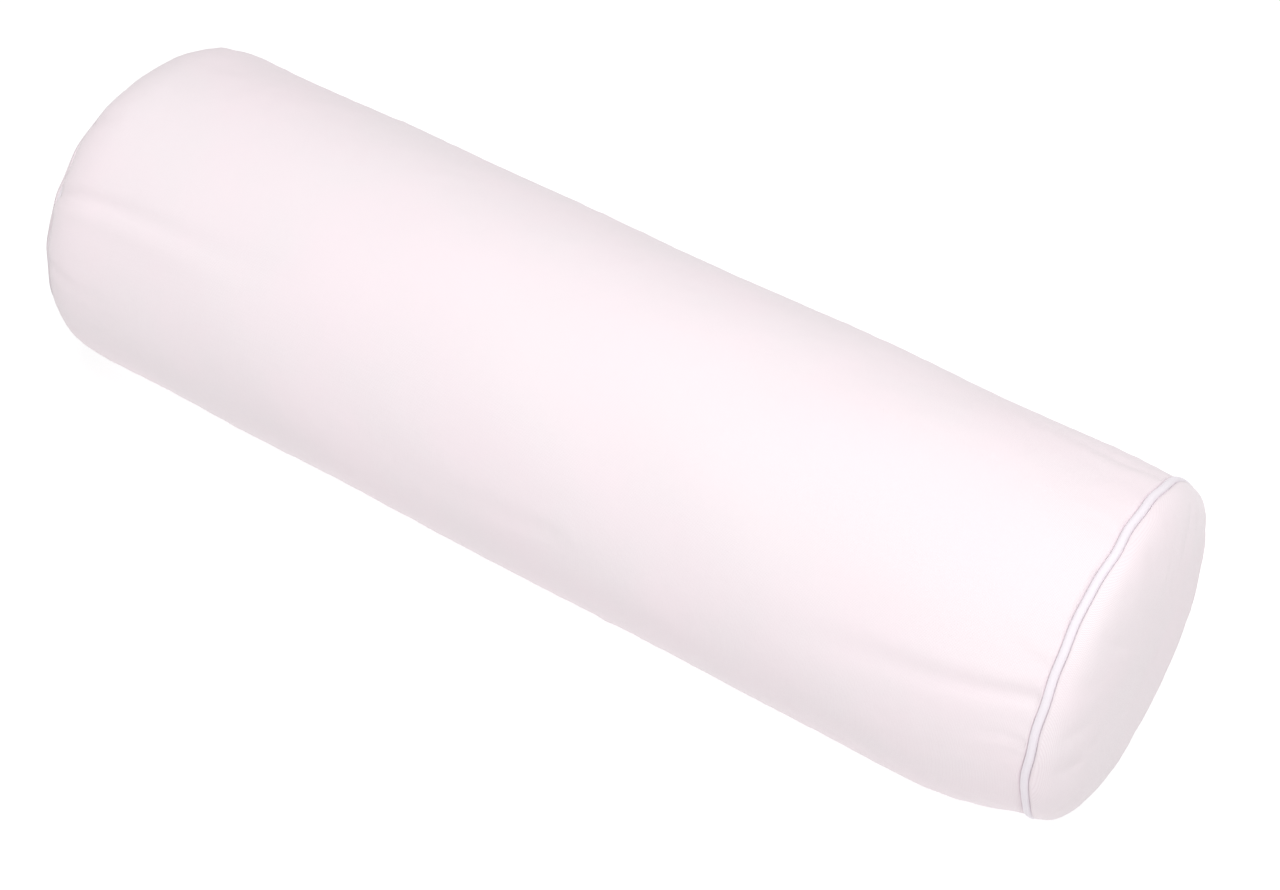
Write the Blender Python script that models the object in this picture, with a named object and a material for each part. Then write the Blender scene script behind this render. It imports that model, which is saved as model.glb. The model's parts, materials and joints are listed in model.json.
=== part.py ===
"""Foam roller: a foam core in a zipped cloth cover with two crowned, piped end panels.

Metres, +Z up. The roll lies along X and rests on a narrow flat. Its zip runs along the +Y side.
"""

import math

import bmesh
import bpy

# Overall
LENGTH = 0.600  # crown to crown
COVER_RADIUS = 0.0885  # outside of the cover, away from its ends
FLAT_HALF_ANGLE = math.radians(12)  # share of the round that the soft roll stands on
RING_STEPS = 48  # facets in the rest of the round
FIT_GAP = 0.0003  # between neighbouring pieces

# Cloth cover
FABRIC = 0.0010
END_CROWN = 0.018  # height of an end panel above its seam
CROWN_POWER = 2.8  # squareness of the crown's shoulder
CROWN_RINGS = 6
SHOULDER_DROP = 0.0090  # how far the cover draws in at each end seam
SHOULDER_LENGTH = 0.036
SHOULDER_STATIONS = (0.0, 0.35, 0.62, 0.83, 1.0)
ALLOWANCE = 0.0060  # depth of the turned-in cloth below the piping

# Foam core
CORE_CORNER = 0.021
CORE_CORNER_STEPS = 4
SEAM_ROOM = 0.0025  # between the turned-in cloth and the core

# Piping
PIPING_RADIUS = 0.0025
PIPING_TAPE = 0.0005
PIPING_SET_BACK = 0.0006  # centre of the piping inside the seam radius
PIPING_STEPS = 7

# Zip: t runs across it, h away from the axis of the roll
ZIP_ANGLE = math.radians(106)  # from straight down, towards +Y
ZIP_INSET = 0.060  # end of the opening to the end seam
TAPE_THICKNESS = 0.0005
TAPE_OUTER_EDGE = 0.0164
TAPE_OVERRUN = 0.006  # tape beyond the opening
TAPE_STEPS = 4
COIL_HEIGHT = 0.0021
COIL_REACH = 0.0031  # outer face of a row
COIL_OVERLAP = 0.0009  # how far a row's teeth reach past the middle
COIL_SPINE = 0.0010
TOOTH_PITCH = 0.004
STOP_LENGTH = 0.003
BOTTOM_STOP_INSET = 0.004  # from the end of the opening

# Slider and pull
SLIDER_LENGTH = 0.013
SLIDER_INSET = 0.014  # its middle, from the end of the opening
SLIDER_FLARE = 0.0006  # extra half width at its mouth
PLATE = 0.0011
RAIL = 0.0009
WEDGE_HALF_WIDTH = 0.0007
WEDGE_START = 0.0005
WEDGE_LENGTH = 0.005
ARCH_HALF_LENGTH = 0.0030
ARCH_HEIGHT = 0.0031
ARCH_BAR = 0.0009
ARCH_HALF_WIDTH = 0.0011
TAB_LENGTH = 0.024
TAB_THICKNESS = 0.0010
TAB_BAR = 0.0005  # half the bar that turns in the arch
TAB_RAIL = 0.0012  # either side of the window
TAB_PLAY = 0.0007  # between the window and the arch
JOIN = 0.0002  # overlap of the slider's cast features before they are united

# Derived sizes
AXIS_HEIGHT = COVER_RADIUS * math.cos(FLAT_HALF_ANGLE)
RING_STEP = (2 * math.pi - 2 * FLAT_HALF_ANGLE) / RING_STEPS
FACET_DIP = COVER_RADIUS * (1 - math.cos(RING_STEP / 2))
SEAM_X = LENGTH / 2 - END_CROWN
SEAM_RADIUS = COVER_RADIUS - SHOULDER_DROP
PIPING_CENTRE = SEAM_RADIUS - PIPING_SET_BACK
CORD_RADIUS = (PIPING_RADIUS - PIPING_TAPE) * math.cos(math.pi / PIPING_STEPS) - FIT_GAP
PIPING_SIDE = PIPING_RADIUS + FIT_GAP
FLANGE_FACE = FIT_GAP / 2 + PIPING_TAPE
PLY_FACE = FLANGE_FACE + FIT_GAP
BEND_DEPTH = 0.56 * PIPING_RADIUS
NECK_DEPTH = BEND_DEPTH + 1.2 * PIPING_RADIUS
HEM_DEPTH = NECK_DEPTH + ALLOWANCE

SLOT_HALF_LENGTH = SEAM_X - ZIP_INSET
TAPE_TOP = COVER_RADIUS - FABRIC - FACET_DIP - FIT_GAP
TAPE_BOTTOM = TAPE_TOP - TAPE_THICKNESS
COIL_BOTTOM = TAPE_TOP + FIT_GAP
COIL_TOP = COIL_BOTTOM + COIL_HEIGHT
COIL_START = -SLOT_HALF_LENGTH + BOTTOM_STOP_INSET + STOP_LENGTH + FIT_GAP
SLIDER_X = SLOT_HALF_LENGTH - SLIDER_INSET
COIL_END = SLIDER_X + WEDGE_START - 2 * FIT_GAP
UPPER_PLATE_BOTTOM = COIL_TOP + FIT_GAP
UPPER_PLATE_TOP = UPPER_PLATE_BOTTOM + PLATE
TAPE_EDGE_HEIGHT = math.sqrt(TAPE_BOTTOM**2 - TAPE_OUTER_EDGE**2)
SLIDER_TAIL = COIL_REACH + RAIL + 2 * FIT_GAP
SLIDER_MOUTH = SLIDER_TAIL + SLIDER_FLARE
SLOT_HALF_WIDTH = SLIDER_MOUTH + 2 * FIT_GAP
TAPE_INNER_EDGE = WEDGE_HALF_WIDTH + FIT_GAP
STOP_INNER_FACE = WEDGE_HALF_WIDTH + 3 * FIT_GAP
LOWER_PLATE_TOP = math.sqrt(TAPE_BOTTOM**2 - SLIDER_MOUTH**2) - FIT_GAP
LOWER_PLATE_BOTTOM = LOWER_PLATE_TOP - PLATE
RELIEF_HEIGHT = min(LOWER_PLATE_BOTTOM, TAPE_EDGE_HEIGHT) - FIT_GAP
HINGE_RISE = (ARCH_HEIGHT - ARCH_BAR) / 2
HINGE_HEIGHT = UPPER_PLATE_TOP + HINGE_RISE
TAB_WINDOW_END = math.hypot(ARCH_HALF_LENGTH, ARCH_HEIGHT - HINGE_RISE) + TAB_PLAY
TAB_WINDOW_HALF_WIDTH = ARCH_HALF_WIDTH + TAB_PLAY
TAB_HALF_WIDTH = TAB_WINDOW_HALF_WIDTH + TAB_RAIL

ZIP_ACROSS = (math.cos(ZIP_ANGLE), math.sin(ZIP_ANGLE))
ZIP_OUT = (math.sin(ZIP_ANGLE), -math.cos(ZIP_ANGLE))


def principled(name, colour, roughness, metallic=0.0):
    made = bpy.data.materials.new(name)
    made.use_nodes = True
    shader = made.node_tree.nodes["Principled BSDF"]
    shader.inputs["Base Color"].default_value = (*colour, 1)
    shader.inputs["Roughness"].default_value = roughness
    shader.inputs["Metallic"].default_value = metallic
    made.diffuse_color = (*colour, 1)
    return made


def add_object(name, points, faces, material=None, origin=(0, 0, 0), smooth=False):
    """A closed mesh with its normals turned out."""
    form = bmesh.new()
    corners = []
    for point in points:
        corners.append(form.verts.new([point[axis] - origin[axis] for axis in range(3)]))
    for face in faces:
        form.faces.new([corners[index] for index in face])
    bmesh.ops.recalc_face_normals(form, faces=form.faces)
    for face in form.faces:
        face.smooth = smooth
    mesh = bpy.data.meshes.new(name)
    form.to_mesh(mesh)
    form.free()
    if smooth:
        mesh.set_sharp_from_angle(angle=math.radians(32))
    made = bpy.data.objects.new(name, mesh)
    made.location = origin
    if material:
        mesh.materials.append(material)
    bpy.context.scene.collection.objects.link(made)
    return made


def combine(target, operation, helper):
    """One Boolean, with its helper kept out of the part."""
    helper.hide_render = True
    helper.display_type = "WIRE"
    step = target.modifiers.new(helper.name, "BOOLEAN")
    step.operation = operation
    step.solver = "EXACT"
    step.object = helper


def ring_point(x, radius, angle):
    return (x, radius * math.sin(angle), AXIS_HEIGHT - radius * math.cos(angle))


def zip_point(x, t, h):
    """A point across the zip (t) and out from the roll's axis (h)."""
    y = t * ZIP_ACROSS[0] + h * ZIP_OUT[0]
    return (x, y, AXIS_HEIGHT + t * ZIP_ACROSS[1] + h * ZIP_OUT[1])


def turned(name, outline, material):
    """An (x, radius) outline carried round the roll, over the flat that it stands on."""
    angles = [FLAT_HALF_ANGLE + RING_STEP * step for step in range(RING_STEPS + 1)]
    points = []
    rings = []
    for x, radius in outline:
        stations = angles if radius > 0 else [0.0]
        first = len(points)
        points.extend(ring_point(x, radius, angle) for angle in stations)
        rings.append([first + step % len(stations) for step in range(len(angles))])
    faces = []
    for low, high in zip(rings, rings[1:] + rings[:1]):
        for step in range(len(angles)):
            after = (step + 1) % len(angles)
            corners = [low[step], low[after], high[after], high[step]]
            face = list(dict.fromkeys(corners))
            if len(face) > 2:
                faces.append(face)
    return add_object(name, points, faces, material, smooth=True)


def extruded(name, outline, low, high, place, material=None, origin=(0, 0, 0)):
    """A flat outline given depth; place(a, b, depth) sets each corner in the part."""
    count = len(outline)
    points = [place(a, b, low) for a, b in outline]
    points += [place(a, b, high) for a, b in outline]
    faces = [list(range(count)), list(range(2 * count - 1, count - 1, -1))]
    for index in range(count):
        after = (index + 1) % count
        faces.append([index, after, count + after, count + index])
    return add_object(name, points, faces, material, origin)


def zip_slab(name, outline, low, high, material=None, origin=(0, 0, 0)):
    """An (x, t) outline between two heights."""
    return extruded(name, outline, low, high, zip_point, material, origin)


def box_outline(x_low, x_high, t_low, t_high):
    return [(x_low, t_low), (x_high, t_low), (x_high, t_high), (x_low, t_high)]


def shifted_path(path, distance):
    """The path moved to its right by a distance, with its corners mitred."""
    normals = []
    for start, end in zip(path, path[1:]):
        run, rise = end[0] - start[0], end[1] - start[1]
        size = math.hypot(run, rise)
        normals.append((rise / size, -run / size))
    before = [normals[0]] + normals
    after = normals + [normals[-1]]
    moved = []
    for point, first, second in zip(path, before, after):
        scale = distance / (1 + first[0] * second[0] + first[1] * second[1])
        moved.append(
            (point[0] + scale * (first[0] + second[0]), point[1] + scale * (first[1] + second[1]))
        )
    return moved


def blunted(path, index, cut):
    """The path with one sharp corner cut across."""
    corner = path[index]
    ends = []
    for neighbour in (path[index - 1], path[index + 1]):
        size = math.hypot(neighbour[0] - corner[0], neighbour[1] - corner[1])
        share = cut / size
        ends.append(tuple(c + share * (n - c) for c, n in zip(corner, neighbour)))
    return path[:index] + ends + path[index + 1 :]


def shoulder_radius(x):
    """Outside of the cover at x: a cylinder drawn in towards each end seam."""
    share = max(0.0, (abs(x) - SEAM_X + SHOULDER_LENGTH) / SHOULDER_LENGTH)
    return COVER_RADIUS - SHOULDER_DROP * share**2


def crown_x(radius):
    share = 1 - (radius / SEAM_RADIUS) ** CROWN_POWER
    return SEAM_X + END_CROWN * share ** (1 / CROWN_POWER)


def seam_point(side, x, rise):
    """A point placed from the middle of the right-hand piping."""
    return (SEAM_X + side * x, PIPING_CENTRE + rise)


def turned_in(side):
    """Cloth passing down beside the piping and along its flange, towards the axis."""
    return [
        seam_point(side, PIPING_SIDE, -BEND_DEPTH),
        seam_point(side, PLY_FACE, -NECK_DEPTH),
        seam_point(side, PLY_FACE, -HEM_DEPTH),
    ]


def mirrored(outline):
    return [(-x, radius) for x, radius in outline]


def shoulder_path():
    """Outside of the cover from its cylinder to the fold at the right-hand seam."""
    last = SEAM_X - PIPING_SIDE - 0.5 * PIPING_RADIUS
    first = SEAM_X - SHOULDER_LENGTH
    stations = [first + share * (last - first) for share in SHOULDER_STATIONS]
    path = [(x, shoulder_radius(x)) for x in stations]
    return path + [seam_point(-1, PIPING_SIDE, PIPING_SET_BACK)]


def cover_outline():
    right = shoulder_path() + turned_in(-1)
    path = mirrored(right)[::-1] + right
    return path + shifted_path(path, FABRIC)[::-1]


def panel_outline():
    """From the axis out over the crown, round the fold and in beside the flange, then back."""
    rim = SEAM_RADIUS - 0.72 * PIPING_RADIUS
    crown = [(crown_x(0), 0.0)]
    for step in range(1, CROWN_RINGS + 1):
        radius = rim * math.sin(0.5 * math.pi * step / CROWN_RINGS) ** 0.9
        crown.append((crown_x(radius), radius))
    apex = (SEAM_X + PIPING_SIDE, rim + crown[-1][0] - SEAM_X - PIPING_SIDE)
    path = crown + [apex] + turned_in(1)
    back = shifted_path(path[::-1], FABRIC)
    back[-1] = (crown_x(0) - FABRIC, 0.0)
    return blunted(path, len(crown), FABRIC) + back


def radius_on(path, x):
    """Radius of a path at x, the path running to the right."""
    for (left, start), (right, end) in zip(path, path[1:]):
        if left <= x <= right:
            return start + (end - start) * (x - left) / (right - left)
    return path[0][1] if x < path[0][0] else path[-1][1]


def core_outline():
    """The filling: it follows the cover's shoulder, then stays below the turned-in cloth."""
    room = shifted_path(shoulder_path(), FABRIC + FIT_GAP)
    start = SEAM_X - CORE_CORNER - PIPING_RADIUS
    low = PIPING_CENTRE - HEM_DEPTH - SEAM_ROOM
    top = radius_on(room, start)
    right = [room[0]]
    for step in range(CORE_CORNER_STEPS + 1):
        turn = 0.5 * math.pi * step / CORE_CORNER_STEPS
        x = start + CORE_CORNER * math.sin(turn)
        radius = low + (top - low) * math.cos(turn)
        right.append((x, min(radius, radius_on(room, x))))
    foot = right[-1][0]
    height = LENGTH / 2 - FABRIC - FIT_GAP - foot
    for share in (0.93, 0.80, 0.55, 0.28):
        rise = (1 - share**CROWN_POWER) ** (1 / CROWN_POWER)
        right.append((foot + height * rise, low * share))
    right.append((foot + height, 0.0))
    return mirrored(right)[::-1] + right


def arc_round(radius, half_opening, steps):
    """Round the piping from one side of its flange to the other, as (x, rise)."""
    start = math.asin(half_opening / radius)
    span = 2 * math.pi - 2 * start
    turns = [start + span * step / steps for step in range(steps + 1)]
    return [(-radius * math.sin(turn), -radius * math.cos(turn)) for turn in turns]


def piping_tape_outline():
    outer = arc_round(PIPING_RADIUS, FLANGE_FACE, PIPING_STEPS)
    inner = arc_round(PIPING_RADIUS - PIPING_TAPE, FIT_GAP / 2, PIPING_STEPS)
    loop = [(-FLANGE_FACE, -HEM_DEPTH)] + outer + [(FLANGE_FACE, -HEM_DEPTH)]
    loop += [(FIT_GAP / 2, -HEM_DEPTH)] + inner[::-1] + [(-FIT_GAP / 2, -HEM_DEPTH)]
    return [seam_point(1, x, rise) for x, rise in loop]


def cord_outline():
    turns = [2 * math.pi * (step + 0.5) / 8 for step in range(8)]
    return [
        seam_point(1, CORD_RADIUS * math.cos(turn), CORD_RADIUS * math.sin(turn)) for turn in turns
    ]


def zip_tape(name, side, material):
    """A strip that follows the inside of the cover beside the coil."""
    first = math.asin(TAPE_INNER_EDGE / TAPE_TOP)
    last = math.asin(TAPE_OUTER_EDGE / TAPE_TOP)
    turns = [first + (last - first) * step / TAPE_STEPS for step in range(TAPE_STEPS + 1)]
    outline = [(TAPE_TOP * math.sin(turn), TAPE_TOP * math.cos(turn)) for turn in turns]
    outline += [(TAPE_BOTTOM * math.sin(turn), TAPE_BOTTOM * math.cos(turn)) for turn in turns[::-1]]
    reach = SLOT_HALF_LENGTH + TAPE_OVERRUN
    return extruded(
        name, outline, -reach, reach, lambda t, h, x: zip_point(x, side * t, h), material
    )


def zip_coil(name, side, shift, material):
    """A row of teeth on a spine, each tooth in a gap of the other row."""
    tooth = TOOTH_PITCH / 2 - FIT_GAP
    count = int((COIL_END - COIL_START - shift) / TOOTH_PITCH)
    spine_face = COIL_REACH - COIL_SPINE
    outline = [(COIL_END, side * COIL_REACH), (COIL_START, side * COIL_REACH)]
    outline.append((COIL_START, side * spine_face))
    for index in range(count):
        left = COIL_START + shift + TOOTH_PITCH * index + FIT_GAP
        outline.append((left, side * spine_face))
        outline.append((left, -side * COIL_OVERLAP))
        outline.append((left + tooth, -side * COIL_OVERLAP))
        outline.append((left + tooth, side * spine_face))
    outline.append((COIL_END, side * spine_face))
    return zip_slab(name, outline, COIL_BOTTOM, COIL_TOP, material)


def plate_outline():
    """Slider plate: wide at its mouth, narrower where the closed rows leave it."""
    half = SLIDER_LENGTH / 2
    wide, tail = SLIDER_MOUTH, SLIDER_TAIL
    edge = [(-half, 0.7 * tail), (-0.8 * half, tail), (0, tail), (0.4 * half, wide)]
    edge += [(0.8 * half, wide), (half, 0.7 * wide)]
    return [(SLIDER_X + x, t) for x, t in edge + [(x, -t) for x, t in edge[::-1]]]


def zip_slider(material):
    middle = zip_point(SLIDER_X, 0, UPPER_PLATE_TOP)
    upper = zip_slab(
        "zip_slider_body", plate_outline(), UPPER_PLATE_BOTTOM, UPPER_PLATE_TOP, material, middle
    )
    lower = zip_slab("slider_lower_plate", plate_outline(), LOWER_PLATE_BOTTOM, LOWER_PLATE_TOP)
    nose = SLIDER_X + WEDGE_START
    wedge = [(nose, -0.4 * WEDGE_HALF_WIDTH), (nose + 0.35 * WEDGE_LENGTH, -WEDGE_HALF_WIDTH)]
    wedge += [(nose + WEDGE_LENGTH, -WEDGE_HALF_WIDTH), (nose + WEDGE_LENGTH, WEDGE_HALF_WIDTH)]
    wedge += [(nose + 0.35 * WEDGE_LENGTH, WEDGE_HALF_WIDTH), (nose, 0.4 * WEDGE_HALF_WIDTH)]
    post = zip_slab(
        "slider_wedge", wedge, LOWER_PLATE_TOP - JOIN, UPPER_PLATE_BOTTOM + JOIN
    )
    combine(upper, "UNION", post)
    combine(upper, "UNION", lower)
    for side, label in ((1, "upper"), (-1, "lower")):
        outer = [(x, side * (t - JOIN)) for x, t in plate_outline() if t > 0]
        inner = [(x, t - side * (RAIL - JOIN)) for x, t in outer]
        rail = zip_slab(
            f"slider_{label}_rail",
            outer[1:-1] + inner[1:-1][::-1],
            TAPE_TOP + FIT_GAP,
            UPPER_PLATE_BOTTOM + JOIN,
        )
        combine(upper, "UNION", rail)
    foot = UPPER_PLATE_TOP - JOIN
    crest = UPPER_PLATE_TOP + ARCH_HEIGHT
    outside, inside = ARCH_HALF_LENGTH, ARCH_HALF_LENGTH - ARCH_BAR
    arch = [(-outside, foot), (-outside, crest - ARCH_BAR), (ARCH_BAR - outside, crest)]
    arch += [(outside - ARCH_BAR, crest), (outside, crest - ARCH_BAR), (outside, foot)]
    arch += [(inside, foot), (inside, crest - ARCH_BAR), (-inside, crest - ARCH_BAR), (-inside, foot)]
    bridge = extruded(
        "slider_bridge",
        arch,
        -ARCH_HALF_WIDTH,
        ARCH_HALF_WIDTH,
        lambda x, h, t: zip_point(SLIDER_X + x, t, h),
    )
    combine(upper, "UNION", bridge)
    return upper


def zip_pull(material):
    """A flat tab hung on the slider's arch by the bar beside its window."""
    hinge = zip_point(SLIDER_X, 0, HINGE_HEIGHT)
    wide = TAB_HALF_WIDTH
    edge = [(TAB_BAR, 0.8 * wide), (0, wide), (-0.25 * TAB_LENGTH, wide)]
    edge += [(-0.4 * TAB_LENGTH, 0.72 * wide), (-0.85 * TAB_LENGTH, wide), (-TAB_LENGTH, 0.6 * wide)]
    outline = [(SLIDER_X + x, t) for x, t in edge + [(x, -t) for x, t in edge[::-1]]]
    low, high = HINGE_HEIGHT - TAB_THICKNESS / 2, HINGE_HEIGHT + TAB_THICKNESS / 2
    tab = zip_slab("zip_pull_tab", outline, low, high, material, hinge)
    window = box_outline(
        SLIDER_X - TAB_WINDOW_END,
        SLIDER_X - TAB_BAR,
        -TAB_WINDOW_HALF_WIDTH,
        TAB_WINDOW_HALF_WIDTH,
    )
    combine(tab, "DIFFERENCE", zip_slab("tab_window", window, low - 0.001, high + 0.001))
    return tab


for leftover in list(bpy.data.objects):
    bpy.data.objects.remove(leftover, do_unlink=True)

cover_cloth = principled("cover_cloth", (0.88, 0.76, 0.80), 0.85)
piping_cloth = principled("piping_cloth", (0.90, 0.88, 0.91), 0.8)
cord_cotton = principled("piping_cord_cotton", (0.85, 0.82, 0.76), 0.9)
core_foam = principled("core_foam", (0.87, 0.84, 0.74), 0.95)
zip_tape_cloth = principled("zip_tape_cloth", (0.86, 0.75, 0.79), 0.85)
coil_nylon = principled("coil_nylon", (0.86, 0.78, 0.81), 0.45)
zip_metal = principled("zip_metal", (0.80, 0.79, 0.80), 0.35, 1.0)
slider_enamel = principled("slider_enamel", (0.88, 0.80, 0.83), 0.25)

core = turned("foam_core", core_outline(), core_foam)
relief = box_outline(
    -SLOT_HALF_LENGTH - 2 * TAPE_OVERRUN,
    SLOT_HALF_LENGTH + 2 * TAPE_OVERRUN,
    -2 * TAPE_OUTER_EDGE,
    2 * TAPE_OUTER_EDGE,
)
combine(core, "DIFFERENCE", zip_slab("core_relief", relief, RELIEF_HEIGHT, 1.1 * COVER_RADIUS))

cover = turned("cover_body", cover_outline(), cover_cloth)
slot = box_outline(-SLOT_HALF_LENGTH, SLOT_HALF_LENGTH, -SLOT_HALF_WIDTH, SLOT_HALF_WIDTH)
combine(cover, "DIFFERENCE", zip_slab("cover_slot", slot, 0.9 * COVER_RADIUS, 1.1 * COVER_RADIUS))

for end, flip in (("right", list), ("left", mirrored)):
    turned(f"{end}_end_panel", flip(panel_outline()), cover_cloth)
    turned(f"{end}_piping_tape", flip(piping_tape_outline()), piping_cloth)
    turned(f"{end}_piping_cord", flip(cord_outline()), cord_cotton)

stop_x = SLIDER_X + WEDGE_START + FIT_GAP
for label, side, shift in (("upper", 1, 0.0), ("lower", -1, TOOTH_PITCH / 2)):
    zip_tape(f"zip_tape_{label}", side, zip_tape_cloth)
    zip_coil(f"zip_coil_{label}", side, shift, coil_nylon)
    block = box_outline(stop_x, stop_x + STOP_LENGTH, side * STOP_INNER_FACE, side * COIL_REACH)
    zip_slab(f"zip_top_stop_{label}", block, COIL_BOTTOM, COIL_TOP, zip_metal)

end_x = -SLOT_HALF_LENGTH + BOTTOM_STOP_INSET
block = box_outline(end_x, end_x + STOP_LENGTH, -COIL_REACH, COIL_REACH)
zip_slab("zip_bottom_stop", block, COIL_BOTTOM, COIL_TOP, zip_metal)

zip_slider(slider_enamel)
zip_pull(slider_enamel)
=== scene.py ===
# %% [markdown]
# # A foam roller in a zipped, piped cover
# The real object is a soft round bolster: a cylinder of foam inside a cotton cover that comes off
# for washing. The cover is one rectangle of cloth wrapped into a tube, its two long edges joined by
# a zip, and two round end cloths. A thin piping, cloth folded over a cotton cord, is sewn into each
# end seam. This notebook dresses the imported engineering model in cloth, thread, nylon and metal.

import json
import math

import bmesh
import bpy
import numpy as np
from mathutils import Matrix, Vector

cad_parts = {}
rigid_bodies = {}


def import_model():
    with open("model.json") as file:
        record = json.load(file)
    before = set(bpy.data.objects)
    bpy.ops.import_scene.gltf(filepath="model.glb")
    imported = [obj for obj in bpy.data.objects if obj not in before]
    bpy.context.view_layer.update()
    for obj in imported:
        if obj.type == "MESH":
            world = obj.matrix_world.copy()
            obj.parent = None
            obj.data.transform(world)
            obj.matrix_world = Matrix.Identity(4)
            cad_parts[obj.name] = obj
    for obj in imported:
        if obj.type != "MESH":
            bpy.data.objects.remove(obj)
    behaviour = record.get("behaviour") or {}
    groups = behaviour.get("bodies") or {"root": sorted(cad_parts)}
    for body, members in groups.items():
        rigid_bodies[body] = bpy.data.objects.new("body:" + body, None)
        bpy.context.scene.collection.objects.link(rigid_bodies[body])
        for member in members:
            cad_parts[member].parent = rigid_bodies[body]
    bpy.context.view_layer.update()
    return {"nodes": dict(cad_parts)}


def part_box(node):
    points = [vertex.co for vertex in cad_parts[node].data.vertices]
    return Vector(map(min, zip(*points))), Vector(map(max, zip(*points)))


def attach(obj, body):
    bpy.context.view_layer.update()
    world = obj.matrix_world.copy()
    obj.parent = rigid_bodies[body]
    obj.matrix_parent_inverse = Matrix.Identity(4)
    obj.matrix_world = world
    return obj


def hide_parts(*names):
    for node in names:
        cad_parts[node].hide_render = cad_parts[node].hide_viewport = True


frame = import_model()

# %% [markdown]
# ## Sizes taken from the engineering model
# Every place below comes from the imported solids, so that cloth, thread and zip land exactly on
# them. Two kinds of coordinates are handy. On the roll, a point is x along it and a turn round it,
# measured from straight down towards +Y. On the zip, t runs across it and h out from the axis.

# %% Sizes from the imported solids
MM = 0.001
FLAT_TURN = math.radians(12)  # half of the patch that the roll settles on
ZIP_TURN = math.radians(106)
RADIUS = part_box("cover_body")[1].z / (1 + math.cos(FLAT_TURN))
AXIS_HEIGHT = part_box("cover_body")[1].z - RADIUS
SLOT_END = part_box("zip_tape_upper")[1].x - 6 * MM
SLOT_HALF = 5.8 * MM
TAPE_TOP = RADIUS - 1.465 * MM
COIL_MIDDLE = RADIUS - 0.115 * MM
OUT = np.array([0, math.sin(ZIP_TURN), -math.cos(ZIP_TURN)])
ACROSS = np.array([0, math.cos(ZIP_TURN), math.sin(ZIP_TURN)])
AXIS = np.array([0, 0, AXIS_HEIGHT])
print(f"radius {RADIUS / MM:.1f} mm, axis {AXIS_HEIGHT / MM:.1f} mm up, zip {2 * SLOT_END / MM:.0f} mm")

# %% [markdown]
# ## Camera first
# The camera looks down on the roll from the front right, from eight roll diameters away. A
# moderately long lens keeps the far end nearly as thick as the near one. It is placed before
# anything else, because every later choice of detail depends on what it sees.

# %% Camera
def look_from(azimuth, elevation):
    turn, lift = math.radians(azimuth), math.radians(elevation)
    back = Vector((math.sin(turn) * math.cos(lift), -math.cos(turn) * math.cos(lift), math.sin(lift)))
    right = Vector((math.cos(turn), math.sin(turn), 0))
    return back, right, back.cross(right)


back, right_hand, upward = look_from(34.61, 45.49)
camera = bpy.data.objects.new("camera", bpy.data.cameras.new("camera"))
bpy.context.scene.collection.objects.link(camera)
camera.data.sensor_width, camera.data.lens = 36, 79.25
target = Vector(AXIS) + 0.0221 * right_hand - 0.0172 * upward
camera.location = target + 1.3757 * back
camera.rotation_euler = back.to_track_quat("Z", "Y").to_euler()
camera.data.clip_start = 0.01
bpy.context.scene.camera = camera
print("camera at", [round(v, 3) for v in camera.location])

# %% [markdown]
# ## Light and floor
# A white cove with one very large soft lamp overhead. Pale goods are lit almost evenly: the floor
# throws nearly as much light up as the sky throws down, so the underside is only a touch darker.
# The lamp hangs above and a little in front of the roll, nearer its right end, so the light falls
# off gently towards the left and the shade gathers low on the front.

# %% Studio
lamp = bpy.data.lights.new("overhead lamp", "AREA")
lamp.shape, lamp.size, lamp.size_y, lamp.energy = "RECTANGLE", 0.9, 0.7, 29
hung = bpy.data.objects.new("overhead lamp", lamp)
hung.location, aim = Vector((0.50, -0.52, 1.98)), Vector((0.14, 0, 0.1))
hung.rotation_euler = (hung.location - aim).to_track_quat("Z", "Y").to_euler()
bpy.context.scene.collection.objects.link(hung)
world = bpy.data.worlds.new("white cove")
world.use_nodes = True
world.node_tree.nodes["Background"].inputs["Color"].default_value = (1, 1, 1, 1)
world.node_tree.nodes["Background"].inputs["Strength"].default_value = 0.50
bpy.context.scene.world = world
bpy.context.scene.view_settings.view_transform = "Standard"
bpy.context.scene.view_settings.look = "None"

floor_mesh = bpy.data.meshes.new("floor")
floor_mesh.from_pydata([(-6, -6, 0), (6, -6, 0), (6, 6, 0), (-6, 6, 0)], [], [(0, 1, 2, 3)])
floor = bpy.data.objects.new("floor", floor_mesh)
floor.location.z = -0.0002
bpy.context.scene.collection.objects.link(floor)
floor_paint = bpy.data.materials.new("white floor")
floor_paint.use_nodes = True
paint = floor_paint.node_tree.nodes["Principled BSDF"].inputs
paint["Base Color"].default_value = (0.3, 0.3, 0.3, 1)
paint["Roughness"].default_value = 0.9
paint["Emission Color"].default_value = (1, 1, 1, 1)
paint["Emission Strength"].default_value = 0.80
floor_mesh.materials.append(floor_paint)
print("lamp, cove and floor in place")

# %% [markdown]
# ## A short way to write shader nodes
# Procedural finishes are chains of small sums. `Tree` adds a node, sets its sockets and links what
# it is given, and `Recipe` is the tree of a material, so a weave takes a few readable lines.

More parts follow.
